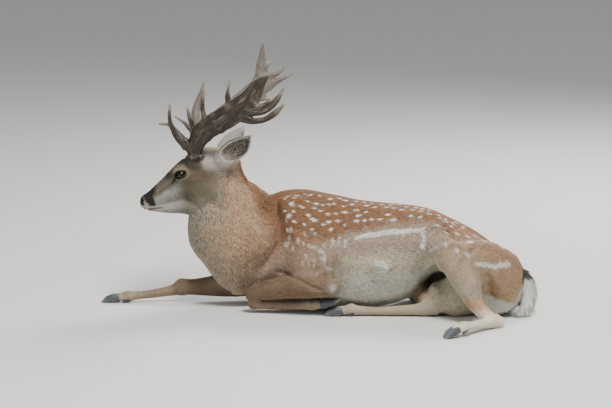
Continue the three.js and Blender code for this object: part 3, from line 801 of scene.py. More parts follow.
def relax(vertices, triangles, share):
    """Moves each vertex towards the middle of its neighbours."""
    edges = edges_of(triangles)
    count = np.bincount(edges[:, 0], minlength=len(vertices))[:, None]
    mean = np.stack([np.bincount(edges[:, 0], vertices[edges[:, 1], k], len(vertices)) for k in range(3)], 1)
    return vertices + share * (mean / np.maximum(count, 1) - vertices)


PROBE = 0.4
SLOPES = (0.3, 3)  # the range in which a field's slope is trusted


def project(vertices, field, normals, most):
    """Moves each vertex along its normal onto the field's surface, by so much at most."""
    d = field(vertices)
    ahead = field(vertices + normals * PROBE)
    slope = np.clip((ahead - d) / PROBE, *SLOPES)
    return vertices - normals * np.clip(d / slope, -most, most)[:, None]


def settle(vertices, triangles, field, share, most):
    vertices = relax(vertices, triangles, share)
    return project(vertices, field, vertex_normals(vertices, triangles), most)


def spaced(low, high, step):
    return np.linspace(low, high, int(round((high - low) / step)) + 1)


# ---------------------------------------------------------------- Blender helpers
def to_row(points):
    return (np.asarray(points) + OFFSET) / MM_PER_M


def linear(r, g, b):
    """A colour given as it looks on a screen, 0 to 255, as the shader's linear numbers."""
    c = np.array([r, g, b], float) / 255
    return np.where(c <= 0.04045, c / 12.92, ((c + 0.055) / 1.055) ** 2.4)


def add_mesh(name, vertices, triangles, material, colours):
    """A smooth object from points in mm, with its colours in the mesh as Tone."""
    mesh = bpy.data.meshes.new(name)
    count = len(triangles)
    mesh.vertices.add(len(vertices))
    mesh.vertices.foreach_set("co", np.asarray(to_row(vertices), np.float32).ravel())
    mesh.loops.add(count * 3)
    mesh.loops.foreach_set("vertex_index", np.asarray(triangles, np.int32).ravel())
    mesh.polygons.add(count)
    mesh.polygons.foreach_set("loop_start", np.arange(0, count * 3, 3, dtype=np.int32))
    mesh.polygons.foreach_set("use_smooth", np.full(count, True))
    mesh.update(calc_edges=True)
    rgba = np.ones((len(vertices), 4), np.float32)
    rgba[:, :3] = colours
    mesh.attributes.new("Tone", "FLOAT_COLOR", "POINT").data.foreach_set("color", rgba.ravel())
    mesh.materials.append(material)
    obj = bpy.data.objects.new(name, mesh)
    bpy.context.scene.collection.objects.link(obj)
    return obj


def material(name, roughness):
    mat = bpy.data.materials.new(name)
    mat.use_nodes = True
    shader = mat.node_tree.nodes["Principled BSDF"]
    shader.inputs["Roughness"].default_value = roughness
    return mat, mat.node_tree, shader


def node(tree, kind, **inputs):
    """A new shader node, with its inputs set to values or joined to sockets."""
    made = tree.nodes.new(kind)
    for key, value in inputs.items():
        socket = made.inputs[key.replace("_", " ")]
        if isinstance(value, bpy.types.NodeSocket):
            tree.links.new(value, socket)
        else:
            socket.default_value = value
    return made


DRY_ROUGHNESS, WET_ROUGHNESS = 0.62, 0.24
GRAIN = {"scale": 900.0, "relief": 0.0004, "change": 0.12}  # the relief in metres, the change as a share


def coat_material(name, roughness, specular=0.28):
    """Takes its colour from the mesh, with a fine grain over it in colour and in relief."""
    mat, tree, shader = material(name, roughness)
    tone = node(tree, "ShaderNodeAttribute")
    tone.attribute_name = "Tone"
    place = node(tree, "ShaderNodeTexCoord")
    speckle = node(
        tree, "ShaderNodeTexNoise", Vector=place.outputs["Object"], Scale=GRAIN["scale"], Detail=3.0
    )
    grain = speckle.outputs["Fac"]
    lighter = node(
        tree, "ShaderNodeMapRange", Value=grain, To_Min=1 - GRAIN["change"], To_Max=1 + GRAIN["change"]
    )
    scaled = node(tree, "ShaderNodeVectorMath")
    scaled.operation = "SCALE"
    tree.links.new(tone.outputs["Color"], scaled.inputs[0])
    tree.links.new(lighter.outputs["Result"], scaled.inputs["Scale"])
    tree.links.new(scaled.outputs["Vector"], shader.inputs["Base Color"])
    bump = node(tree, "ShaderNodeBump", Height=grain, Strength=0.6, Distance=GRAIN["relief"])
    tree.links.new(bump.outputs["Normal"], shader.inputs["Normal"])
    shader.inputs["Specular IOR Level"].default_value = specular
    return mat, shader


# ---------------------------------------------------------------- camera, light and floor
CAMERA_TARGET = np.array([-95.0, 0.0, 340.0])
CAMERA_DISTANCE = 9000.0
CAMERA_AZIMUTH = math.radians(7)
CAMERA_ELEVATION = math.radians(9.5)
PICTURE_SCALE = 3.24  # millimetres for each pixel of a picture 612 wide
PICTURE_WIDTH = 612
SENSOR_WIDTH = 36
back = np.array(
    [
        math.sin(CAMERA_AZIMUTH) * math.cos(CAMERA_ELEVATION),
        -math.cos(CAMERA_AZIMUTH) * math.cos(CAMERA_ELEVATION),
        math.sin(CAMERA_ELEVATION),
    ]
)
camera_data = bpy.data.cameras.new("camera")
camera_data.sensor_width = SENSOR_WIDTH
camera_data.lens = SENSOR_WIDTH * CAMERA_DISTANCE / (PICTURE_SCALE * PICTURE_WIDTH)
camera_data.clip_end = 100
camera = bpy.data.objects.new("camera", camera_data)
camera.location = to_row(CAMERA_TARGET + back * CAMERA_DISTANCE)
camera.rotation_euler = Vector(-back).to_track_quat("-Z", "Y").to_euler()
bpy.context.scene.collection.objects.link(camera)
bpy.context.scene.camera = camera


LAMP_DISTANCE = 4.5
LAMP_AIM = Vector((0, 0, 0.3))


def lamp(name, direction, size, power, colour):
    data = bpy.data.lights.new(name, "AREA")
    data.shape = "DISK"
    data.size = size
    data.energy = power
    data.color = colour
    made = bpy.data.objects.new(name, data)
    made.location = Vector(direction).normalized() * LAMP_DISTANCE + LAMP_AIM
    made.rotation_euler = Vector(direction).to_track_quat("Z", "Y").to_euler()
    bpy.context.scene.collection.objects.link(made)


lamp("key", (0.25, -0.55, 1.0), 1.6, 270, (1.0, 0.96, 0.9))
lamp("fill", (-0.9, -0.9, 0.4), 3.5, 34, (0.93, 0.96, 1.0))
lamp("rim", (0.45, 0.9, 0.8), 2.0, 200, (1.0, 0.97, 0.92))
world = bpy.data.worlds.new("studio")
world.use_nodes = True
world.node_tree.nodes["Background"].inputs["Color"].default_value = (0.86, 0.89, 0.93, 1)
world.node_tree.nodes["Background"].inputs["Strength"].default_value = 0.42
bpy.context.scene.world = world

floor_mesh = bpy.data.meshes.new("floor")
FLOOR_HALF = 30.0
floor_corners = [(x * FLOOR_HALF, y * FLOOR_HALF, 0) for x, y in ((-1, -1), (1, -1), (1, 1), (-1, 1))]
floor_mesh.from_pydata(floor_corners, [], [(0, 1, 2, 3)])
floor = bpy.data.objects.new("floor", floor_mesh)
floor_mat, _, floor_shader = material("floor_paint", 0.9)
floor_shader.inputs["Base Color"].default_value = (0.74, 0.73, 0.71, 1)
floor_mesh.materials.append(floor_mat)
bpy.context.scene.collection.objects.link(floor)

# ---------------------------------------------------------------- the skin
# The grid's lines, which stand closer together round the head.
axes = [
    np.concatenate([spaced(-748, -330, 3.5), spaced(-324, 666, 6.2)]),
    np.concatenate([spaced(-446, -182, 6), spaced(-177, 177, 4.4), spaced(183, 219, 6)]),
    np.concatenate([spaced(-8, 300, 5.6), spaced(303.5, 605, 3.5)]),
]
skin_v, skin_t = main_body(*surface_nets(skin_field, axes))
EDGES = {"body": 12.0, "face": 5.0, "muzzle": 3.1, "eye": 2.6}  # the longest that an edge may be


def wanted_size(points):
    local = to_head(points)
    size = np.full(len(points), EDGES["body"])
    face = (local[:, 0] < 30) & (local[:, 0] > -270) & (local[:, 2] > -140) & (np.abs(local[:, 1]) < 75)
    size[face] = EDGES["face"]
    size[eye_frame(local)[3] < 2 * EYE_RADIUS] = EDGES["eye"]
    size[(local[:, 0] < -170) & face] = EDGES["muzzle"]
    return size


REFINEMENTS = 2
for _ in range(REFINEMENTS):
    skin_v, skin_t = refine_mesh(skin_v, skin_t, wanted_size)
    skin_v = settle(skin_v, skin_t, skin_field, 0.35, 1.5)
skin_v = settle(skin_v, skin_t, skin_field, 0.3, 1.0)
skin_n = vertex_normals(skin_v, skin_t)

# ---------------------------------------------------------------- markings
# large primes that scatter the corners of the noise's cells
HASH = (73856093, 19349663, 83492791)
HASH_AGAIN = 1274126177


def noise(points, scale, seed):
    """Smooth noise from -1 to 1 with features of about the given size."""
    q = points / scale + 1000.0 + seed * 17.3
    cell = np.floor(q).astype(np.int64)
    f = q - cell
    f = f * f * (3 - 2 * f)
    out = np.zeros(len(points))
    for corner in np.ndindex(2, 2, 2):
        x, y, z = (cell + corner).T
        h = x * HASH[0] ^ y * HASH[1] ^ z * HASH[2]
        h = ((h ^ (h >> 13)) * HASH_AGAIN) & 0xFFFFFFFF
        h = ((h ^ (h >> 15)) & 0xFFFF) / 0xFFFF
        for k, far_side in enumerate(corner):
            h = h * (f[:, k] if far_side else 1 - f[:, k])
        out += h
    return out * 2 - 1


RUST = linear(134, 98, 70)
SADDLE = linear(106, 76, 54)
SPOT = linear(226, 226, 222)
TAN = linear(164, 148, 130)
CREAM = linear(190, 180, 158)
ARM_PINK = linear(176, 146, 124)
BELLY = linear(196, 196, 184)
FAWN = linear(186, 155, 126)
NAPE = linear(146, 90, 50)
THROAT = linear(148, 144, 128)
FACE = linear(98, 90, 74)
BROW = linear(112, 102, 86)
BRIDGE = linear(92, 84, 78)
CHEEK = linear(156, 154, 148)
MUZZLE_BAND = linear(34, 30, 30)
LIP = linear(172, 166, 154)
NOSE_PAD = linear(20, 18, 20)
EYE_RING = linear(140, 130, 108)
LID_RIM = linear(24, 20, 18)
EAR_OUTSIDE = linear(154, 150, 146)
# the inside of an ear's cup, dark as painted shade in the hollow
EAR_HOLLOW_SHADED = linear(56, 48, 36)
EAR_RIM = linear(216, 212, 202)
CROWN = linear(200, 190, 180)
CROWN_ORANGE = linear(190, 138, 98)
THIGH_TAN = linear(168, 142, 118)
HAUNCH_BROWN = linear(168, 140, 109)
HAUNCH_PINK = linear(176, 144, 118)
RUMP_WHITE = linear(200, 200, 190)
SHANK_GREY = linear(174, 162, 146)
LEG_TAN = linear(128, 106, 84)
LEG_PALE = linear(188, 172, 148)
HOCK_TAN = linear(212, 154, 102)
# pale hair of the near hind's hock and lower leg, brightened as painted sunlight
HOCK_CREAM_SUNLIT = linear(248, 236, 214)
BLACK_HAIR = linear(30, 25, 24)
TAIL_WHITE = linear(222, 222, 216)

TRUNK_TABLE = np.array(TRUNK, float)
NECK_TABLE = np.array(NECK, float)[::-1]


def trunk_place(points):
    """How far round the trunk a point is, in degrees from the spine, less than 0 on the right; its radius."""
    h, w, rh, rw = in_section(TRUNK_TABLE, *points.T)
    return np.degrees(np.arctan2(w / rw, h / rh)), (rh + rw) / 2


# Rows of spots: the degrees round the trunk at five places from front to rear, the x where the row starts and
# stops, the gap between spots, their length and width, and how many degrees they stray.
SPOT_ROWS = [
    ((20, 14, 13, 20, 32), (-160, 330), 25, 7.5, 5, 4),
    ((30, 27, 26, 33, 44), (-120, 400), 24, 8, 5, 5),
    ((42, 37, 34, 41, 52), (-140, 500), 22, 8.5, 5, 6),
    ((54, 48, 45, 51, 60), (-145, 520), 27, 9, 5.5, 8),
    ((30, 36, 42, 46, 50), (380, 560), 25, 10, 5, 5),
    ((70, 72, 74, 78, 80), (335, 480), 34, 11, 6, 7),
    ((100, 104, 106, 104, 92), (370, 470), 25, 8, 6.5, 7),
]
MOTTLES = [
    ((70, 80, 86, 90, 96), (-150, 0), 19, 8, 7, 15),
    ((62, 66, 72, 76, 80), (-150, 20), 14, 4.5, 7, 9),
    ((78, 86, 92, 96, 98), (-140, 14), 14, 4.5, 7.5, 9),
]
SMALL_SPOTS = [
    ((36, 35, 34, 38, 42), (-165, 0), 24, 6, 4, 7),
    ((50, 48, 48, 52, 54), (-160, 20), 24, 6, 4.5, 8),
    ((64, 62, 60, 60, 62), (-150, 60), 26, 5, 5, 8),
]
SPOTS_APART, SOFT_APART = 18, 15
SPOT_RADIUS = 150  # of the trunk, where the gaps between spots are measured
STRIPE_RADIUS = 160
SPOT_ARC = 24  # degrees either side of a spot that it can reach
SPOT_ROUGH = 0.16
SPOT_EDGE = (-1.25, -0.7)  # a spot fades between these, with 0 its middle and -1 its outline
STREAKS = [((84, 78, 74, 70, 70), (-22, 70), 24, 5.5, 17, 7)]
# Lines of pale hair, as x and degrees round the trunk.
SIDE_STRIPE = [(86, 70), (115, 69), (200, 69), (262, 72), (294, 77), (299, 92), (297, 104)]
REAR_STRIPE = [(322, 112), (340, 109)]
HAUNCH_STRIPE = [(472, 107), (500, 102), (523, 96), (542, 86), (570, 68)]


def spots_of(rows, seed):
    """Spots along rows on both sides: where, how far round, length, width and strength."""
    random = np.random.RandomState(seed)
    made = []
    for way in (-1, 1):
        for degrees, (start, stop), gap, length, width, stray in rows:
            x = start + random.rand() * gap / 2
            while x < stop:
                at = np.interp((x - start) / (stop - start), np.linspace(0, 1, 5), degrees)
                angle = way * (at + random.randn() * stray * 0.6)
                long, wide = length * random.uniform(0.65, 1.25), width * random.uniform(0.75, 1.2)
                made.append((x, angle, long, wide, random.uniform(0.75, 1.0)))
                x += gap * random.uniform(0.65, 1.35)
    return made


def spread(spots, apart):
    """Leaves out each spot that is too near one before it."""
    kept = []
    for spot in spots:
        gaps = (math.hypot(spot[0] - k[0], math.radians(spot[1] - k[1]) * SPOT_RADIUS) for k in kept)
        if all(gap > apart for gap in gaps):
            kept.append(spot)
    return kept


SPOTS = spread(spots_of(SPOT_ROWS, 5) + spots_of(SMALL_SPOTS, 12), SPOTS_APART)
SOFT_SPOTS = spread(spots_of(MOTTLES, 8), SOFT_APART)
LONG_SPOTS = spots_of(STREAKS, 3)


def spot_cover(x, angle, radius, spots, rough):
    """How much the spots cover points of the trunk, 0 to 1, with rough edges."""
    cover = np.zeros(len(x))
    for sx, sa, length, width, strength in spots:
        near = np.flatnonzero((np.abs(x - sx) < length * 2) & (np.abs(angle - sa) < SPOT_ARC))
        dx = (x[near] - sx) / length
        da = np.radians(angle[near] - sa) * radius[near] / width
        r = np.hypot(dx, da) + rough[near] * SPOT_ROUGH
        cover[near] = np.maximum(cover[near], strength * smooth_step(-r, *SPOT_EDGE))
    return cover


def mix(base, colour, amount):
    """The colour laid over base by an amount from 0 to 1."""
    return base + (colour - base) * np.clip(amount, 0, 1)[:, None]


def plain(colour, points):
    return np.tile(colour, (len(points), 1))


def body_tone(p):
    x, y, z = p.T
    angle, radius = trunk_place(p)
    around = np.abs(angle)
    wavy = noise(p, 34, 1)
    fine = noise(p, 7, 2)
    edge = around + wavy * 7
    rust_end = np.interp(
        x, [-160, -60, 40, 120, 260, 330, 420, 520, 600], [92, 88, 66, 58, 58, 66, 78, 70, 74]
    )
    fuzz = np.interp(x, [300, 390, 430], [28, 62, 74])
    tone = plain(TAN, p)
    tone = mix(tone, THIGH_TAN, smooth_step(x + wavy * 10, 320, 400))
    grey = smooth_step(250 - z + 0.5 * (x - 400), 10, 90) * smooth_step(490 - x, 0, 110) * (x > 300)
    tone = mix(tone, SHANK_GREY, grey)
    tone = mix(tone, RUST, smooth_step(rust_end + fuzz / 2 - edge - fine * 3, 0, fuzz))
    pink = smooth_step(x + wavy * 12, 350, 440) * smooth_step(edge, 28, 56) * smooth_step(100 - edge, 0, 20)
    tone = mix(tone, HAUNCH_PINK, pink * 0.7)
    tone = mix(tone, SADDLE, smooth_step(34 - edge, 0, 26) * 0.5)
    tone = mix(tone, SADDLE * 0.7, smooth_step(6.5 - around + fine, 0, 5) * 0.5)
    arm = smooth_step(40 - x + wavy * 14, 0, 60) * smooth_step(edge, 60, 90)
    tone = mix(tone, ARM_PINK, arm * 0.6)
    cream_at = np.interp(
        x, [-160, -90, -40, 50, 115, 226, 320, 420], [170, 145, 120, 100, 93, 104, 122, 140]
    )
    tone = mix(tone, CREAM, smooth_step(edge, cream_at - 14, cream_at + 6) * (x < 430))
    tone = mix(tone, BELLY, smooth_step(edge, cream_at + 4, cream_at + 26) * (x < 400))
    tone = mix(tone, SPOT, glow(p, [168, -176, 171], 19) * (y < 0) * 0.8)
    # painted shade under the tuft of longer hair on the belly
    tone = mix(tone, tone * 0.6, 0.6 * glow(p, [190, -170, 158], 13))
    # haunch: brown low down, and a white patch below and behind it
    low = smooth_step(170 - z + wavy * 8, 0, 70) * smooth_step(x + wavy * 6, 430, 520)
    tone = mix(tone, HAUNCH_BROWN, low * 0.9)
    patch = z + 0.42 * (x - 540) - wavy * 5
    tone = mix(tone, RUMP_WHITE, smooth_step(-patch, -78, -58) * smooth_step(x, 470, 500))
    behind = smooth_step(x + 0.5 * (100 - z) + wavy * 4, 604, 616) * smooth_step(150 - z, 0, 14)
    tone = mix(tone, RUMP_WHITE, behind)
    cover = spot_cover(x, angle, radius, SPOTS, fine)
    cover = np.maximum(cover, 0.5 * spot_cover(x, angle, radius, SOFT_SPOTS, fine))
    cover = np.maximum(cover, 0.6 * spot_cover(x, angle, radius, LONG_SPOTS, fine * 1.6))
    for line, width in ((SIDE_STRIPE, 8.5), (REAR_STRIPE, 8), (HAUNCH_STRIPE, 6.5)):
        flat = np.array(line, float)
        flat[:, 1] = np.radians(flat[:, 1]) * STRIPE_RADIUS
        d, _ = line_distance(x, np.radians(around) * STRIPE_RADIUS, flat)
        broken = 0.86 + 0.14 * noise(p, 24, 4)
        ragged = d + fine * 3.2 + wavy * 2.2
        cover = np.maximum(cover, broken * smooth_step(-ragged, -width * 1.35, -width * 0.55))
    return mix(tone, SPOT, cover)


def neck_tone(p):
    x, y, z = p.T
    xc, rh, rw = (np.interp(z, NECK_TABLE[:, 2], NECK_TABLE[:, k]) for k in (0, 3, 4))
    round_nape = (x - xc) / np.maximum(np.hypot(x - xc, y * rh / rw), 1)
    wavy = noise(p, 30, 6)
    tone = plain(FAWN, p)
    front = smooth_step(-round_nape + wavy * 0.2, -0.2, 1.0) * 0.9
    tone = mix(tone, THROAT, front)
    nape = smooth_step(round_nape + wavy * 0.05, 0.80, 0.99) * smooth_step(z, 300, 350)
    tone = mix(tone, NAPE, nape * 0.9)
    tone = mix(tone, TAN, smooth_step(230 - z, 0, 90) * 0.6)
    top = smooth_step(round_nape, 0.4, 0.95)
    rust = smooth_step(x + top * 44 + wavy * 10, -262, -190) * smooth_step(z, 262, 330)
    tone = mix(tone, RUST, rust * (0.85 + 0.15 * top))
    tone = mix(tone, LID_RIM, bell(x, z, (-338, 446), (12, 20)) * 0.75)
    # painted shade along the crease between the neck and the shoulder
    crease = ridge(x, z, FOLDS[0][4], 22, 0.1)
    return mix(tone, tone * 0.42, crease * 0.8)


LID_OVAL = (21.5, 13.5)  # half the length and height of the dark rim round the eye


def head_tone(local):
    x, y, z = folded(local).T
    wavy = noise(local, 22, 9)
    bridge_z = np.interp(x, [-250, -205, -150, -100, -60], [-66, -42, -2, 32, 60])
    below = bridge_z - z + wavy * 4  # how far under the line of the nose and forehead
    tone = plain(FACE, local)
    tone = mix(tone, CHEEK, smooth_step(below, 20, 44) * smooth_step(-x, 100, 150))
    tone = mix(tone, CHEEK, 0.35 * smooth_step(-z, 60, 100))
    tone = mix(tone, SADDLE * 0.8, 0.6 * bell(x, z, (-62, 2), (22, 16)))
    tone = mix(tone, BROW, smooth_step(24 - below, 0, 16) * smooth_step(-x, 60, 110))
    tone = mix(tone, BRIDGE, smooth_step(15 - below, 0, 12) * smooth_step(-x, 140, 175))
    tone = mix(tone, LID_RIM, 0.75 * bell(x, z, (-163, 2), (13, 15)))
    crown = smooth_step(x + wavy * 6, -72, -36) * smooth_step(z + x * 0.12 + wavy * 7, 4, 52)
    tone = mix(tone, CROWN, crown)
    tone = mix(tone, CROWN_ORANGE, 0.7 * smooth_step(x, -66, -30) * smooth_step(z + wavy * 6, 66, 92))
    gaze, u, v, _ = eye_frame(local)
    seen = smooth_step(gaze, -2, 6)
    ring = np.hypot((u + 1) / 30, (v - 2) / 21)
    tone = mix(tone, EYE_RING, seen * smooth_step(-ring, -1.25, -0.85) * 0.8)
    rim = np.hypot(u / LID_OVAL[0], v / LID_OVAL[1])
    tone = mix(tone, LID_RIM, seen * smooth_step(-rim, -1.12, -0.92))
    slit = ridge(x, z, [(-131, -2), (-139, -8), (-147, -20), (-152, -31)], 4.2, 0.15)
    tone = mix(tone, LID_RIM, slit * (y > 25) * 0.75)
    band = smooth_step(-(x + 0.35 * (z + 80)), 203, 213) * smooth_step(z, -104, -96)
    tone = mix(tone, MUZZLE_BAND, band * smooth_step(236 + x + (z + 90) * 0.5, -2, 8))
    tone = mix(tone, MUZZLE_BAND, smooth_step(-x, 196, 214) * smooth_step(z, -70, -58))
    lip = lip_line(x)
    pale = smooth_step(-x, 150, 190) * smooth_step(lip + 9 - z, 0, 9)
    tone = mix(tone, LIP, pale)
    tone = mix(tone, LIP, smooth_step(-x, 222, 232) * smooth_step(-z, 88, 96) * smooth_step(z - lip, 0, 3))
    pad = smooth_step(-x - 0.25 * (z + 90), 239, 244) * smooth_step(z, -101, -97)
    tone = mix(tone, NOSE_PAD, pad * smooth_step(26 - y, 0, 5))
    seam = np.exp(-(((z - lip) / 2.6) ** 2)) * smooth_step(-x, 168, 190)
    return mix(tone, MUZZLE_BAND, seam * 0.9)


def ear_tone(local):
    tone = plain(EAR_OUTSIDE, local)
    for way in (-1, 1):
        inside = ear_hollows[way](local)
        outside = ear_strands[way](local)
        hollow = smooth_step(-inside, -5.0, -1.5) * smooth_step(-outside, 1.5, 5)
        rim = bell(outside, inside, (0, 0), (3.0, 4.4))
        mine = (local[:, 1] * way > 0).astype(float)
        # painted shade inside each ear's cup
        patch = mix(tone, EAR_HOLLOW_SHADED, hollow * mine)
        patch = mix(patch, EAR_RIM, smooth_step(rim, 0.2, 0.6) * mine)
        tone = np.where((mine > 0)[:, None], patch, tone)
    return tone


def limb_tone(p, share):
    x, y, z = p.T
    wavy = noise(p, 18, 12)
    # the forelegs darken in broad patches, and painted shade darkens them towards the front, over all of the
    # far forearm
    patches_and_shade = 0.55 * smooth_step(noise(p, 40, 14), -0.2, 0.6) + 0.3 * smooth_step(-x, 170, 250)
    fore = mix(plain(LEG_TAN, p), LEG_TAN * 0.62, patches_and_shade)
    fore = mix(fore, SPOT, 0.5 * bell(x, z, (14, 96), (13, 16)) * (y < -120))
    hind = mix(plain(SHANK_GREY, p), HAUNCH_PINK, smooth_step(z + wavy * 10, 100, 200) * 0.65)
    front = smooth_step(468 - x - 0.55 * (120 - z) + wavy * 4, 0, 26) * smooth_step(z, 40, 80)
    hind = mix(hind, LEG_PALE, front * 0.8)
    hind = mix(hind, HOCK_TAN, smooth_step(100 - z, 0, 30) * smooth_step(z, 40, 60) * 0.6)
    # the near hind's hock: pale hair, brightened as painted sunlight
    hind = mix(hind, HOCK_CREAM_SUNLIT, smooth_step(62 - z + wavy * 4, 0, 20) * (x > 420))
    cannon = plain(LEG_PALE, p)
    # the near hind's lower leg and pastern: pale hair, brightened as painted sunlight
    near_hock = (x > 400) & (y < -200)
    cannon[near_hock] = HOCK_CREAM_SUNLIT
    cannon = mix(cannon, HOCK_TAN, near_hock * smooth_step(z + wavy * 3, 36, 50) * 0.5)
    cannon = mix(cannon, LEG_TAN, (x < 30) * 0.65)
    pastern = plain(LEG_PALE, p)
    pastern[near_hock] = HOCK_CREAM_SUNLIT
    groin = plain(CREAM, p)
    black = smooth_step(z, 96, 112) * smooth_step(x + 0.3 * y, 596, 606)
    tail = mix(plain(TAIL_WHITE, p), BLACK_HAIR, black)
    out = np.zeros((len(p), 3))
    tones = dict(shank=hind, forearm=fore, cannon=cannon, pastern=pastern, groin=groin, tail=tail)
    for name, tone in tones.items():
        out += share[PARTS.index(name)][:, None] * tone
    return out


def coat_tone(points):
    """The colour of the coat at points of the skin."""
    found, local = part_distances(points)
    share = shares_of(found, 13)
    at = {name: share[i][:, None] for i, name in enumerate(PARTS)}
    tone = limb_tone(points, share)
    tone += (at["trunk"] + at["thigh"]) * body_tone(points)
    tone += at["neck"] * neck_tone(points)
    tone += at["head"] * head_tone(local)
    tone += at["ear"] * ear_tone(local)
    uneven = 1 + 0.07 * noise(points, 30, 15) + 0.05 * noise(points, 11, 16)
    return tone * uneven[:, None]


def wetness(local):
    """1 on the bare nose and along the rims of the eyelids, 0 elsewhere."""
    x, y, z = folded(local).T
    nose = smooth_step(-x - 0.25 * (z + 90), 238, 244) * smooth_step(z, -101, -97)
    nose = nose * smooth_step(27 - y, 0, 5)
    gaze, u, v, _ = eye_frame(local)
    rim = np.hypot(u / LID_OVAL[0], v / LID_OVAL[1])
    lid = smooth_step(-rim, -1.1, -0.95) * (gaze > 0) * smooth_step(y, 20, 30)
    return np.maximum(nose, lid * 0.8)


skin_share = shares_of(part_distances(skin_v)[0])
skin_tone = coat_tone(skin_v)
skin_mat, skin_shader = coat_material("skin", DRY_ROUGHNESS)
skin_tree = skin_mat.node_tree
skin = add_mesh("skin", skin_v, skin_t, skin_mat, skin_tone)
wet = wetness(to_head(skin_v))
skin.data.attributes.new("Wet", "FLOAT", "POINT").data.foreach_set("value", wet.astype(np.float32))
wet_node = node(skin_tree, "ShaderNodeAttribute")
wet_node.attribute_name = "Wet"
drier = node(
    skin_tree, "ShaderNodeMapRange", Value=wet_node.outputs["Fac"], To_Min=DRY_ROUGHNESS, To_Max=WET_ROUGHNESS
)
skin_tree.links.new(drier.outputs["Result"], skin_shader.inputs["Roughness"])
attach(skin, "root")
FLESH = [n for n in frame["nodes"] if not n.startswith(("antler", "eye")) and "claw" not in n]
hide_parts(*FLESH)


def add_bake_map(piece, uv):
    """Gives each corner of each triangle its place on the bake map."""
    layer = piece.data.uv_layers.new(name="OFBake")
    layer.data.foreach_set("uv", np.asarray(uv, np.float32).ravel())


# unwrap the skin: the coat's tufts take their places on the bake map from its own
for other in bpy.context.view_layer.objects:
    other.select_set(False)
bpy.context.view_layer.objects.active = skin
skin.select_set(True)
skin.data.uv_layers.new(name="OFBake")
bpy.ops.object.mode_set(mode="EDIT")
bpy.ops.mesh.select_all(action="SELECT")
bpy.ops.uv.smart_project(angle_limit=1.15, island_margin=0.001)
bpy.ops.object.mode_set(mode="OBJECT")
skin_uv = np.zeros(len(skin_t) * 6, np.float32)
skin.data.uv_layers["OFBake"].data.foreach_get("uv", skin_uv)
skin_uv = skin_uv.reshape(-1, 3, 2)

# ---------------------------------------------------------------- the coat
# For each part of the body: a tuft's length, width and height, and the area of skin for each tuft, in mm.
TUFTS = {
    "trunk": (15, 2.3, 4.0, 7.6),
    "neck": (13, 2.0, 4.2, 5.6),
    "head": (7.5, 1.5, 1.9, 3.8),
    "ear": (7, 1.4, 1.1, 4.5),
    "thigh": (14, 2.3, 3.8, 7.6),
    "shank": (11, 2.0, 2.8, 7),
    "forearm": (11, 2.0, 3.0, 7),
    "cannon": (8, 1.6, 1.7, 5.5),
    "pastern": (8, 1.5, 1.5, 5),
    "groin": (14, 2.4, 4.5, 10),
    "tail": (50, 3.2, 13, 5),
}
TUFT_TABLE = np.array([TUFTS[name] for name in PARTS], float)
random = np.random.RandomState(11)


def lie_of(points, normals, share):
    """The way the hair lies at points of the skin, along the surface."""
    local = to_head(points)
    of = dict(zip(PARTS, share[:, :, None]))
    falling = smooth_step(300 - points[:, 2], 0, 160)[:, None]
    flow = of["trunk"] * (np.array([1.0, 0, -0.1]) + 0.32 * np.array([0, 0, -1.0]) * falling)
    flow += of["neck"] * np.array([0.42, 0, -0.9])
    flow += of["head"] * (np.array([1.0, 0, 0.14]) @ TURN.T)
    ear_way = np.zeros_like(points)
    for way in (-1, 1):
        _, along, _ = ear_strands[way](local, lie=True)
        ear_way += along @ TURN.T
    flow += of["ear"] * ear_way
    flow += of["thigh"] * np.where((points[:, 1] < 0)[:, None], [0.75, 0, -0.6], [0.9, 0.1, -0.2])
    for name in ("shank", "forearm", "cannon", "pastern"):
        best = np.full(len(points), FAR)
        way = np.zeros_like(points)
        for strand in LIMB_STRANDS[name]:
            d, along, _ = strand(points, lie=True)
            closer = d < best
            best = np.where(closer, d, best)
            way[closer] = along[closer]
        flow += of[name] * way
    flow += of["groin"] * np.array([-0.3, -0.3, -0.8])
    _, along, _ = tail_strand(points, lie=True)
    flow += of["tail"] * along
    swirl = np.stack([noise(points, 60, seed) for seed in (21, 22, 23)], 1)
    flow = unit(flow) + swirl * 0.14
    flow -= normals * (flow * normals).sum(1)[:, None]
    return unit(flow)


def roots_on(vertices, triangles, normals, share):
    """Random places on the skin, as many as the table asks for: their triangles and shares of its corners."""
    a, b, c = (vertices[triangles[:, i]] for i in range(3))
    area = np.linalg.norm(np.cross(b - a, c - a), axis=1) / 2
    wanted = area * (share[:, triangles].mean(2).T @ (1 / TUFT_TABLE[:, 3]))
    facing_down = normals[triangles].mean(1)[:, 2] < -0.9
    wanted[facing_down & (a[:, 2] < 6)] = 0
    count = np.floor(wanted + random.rand(len(wanted))).astype(int)
    of = np.repeat(np.arange(len(triangles)), count)
    u, v = random.rand(len(of)), random.rand(len(of))
    over = u + v > 1
    u[over], v[over] = 1 - u[over], 1 - v[over]
    return of, np.stack([1 - u - v, u, v], 1)


root_face, root_share = roots_on(skin_v, skin_t, skin_n, skin_share)
corners = skin_t[root_face]


def at_roots(values):
    return (values[corners] * root_share[:, :, None]).sum(1)


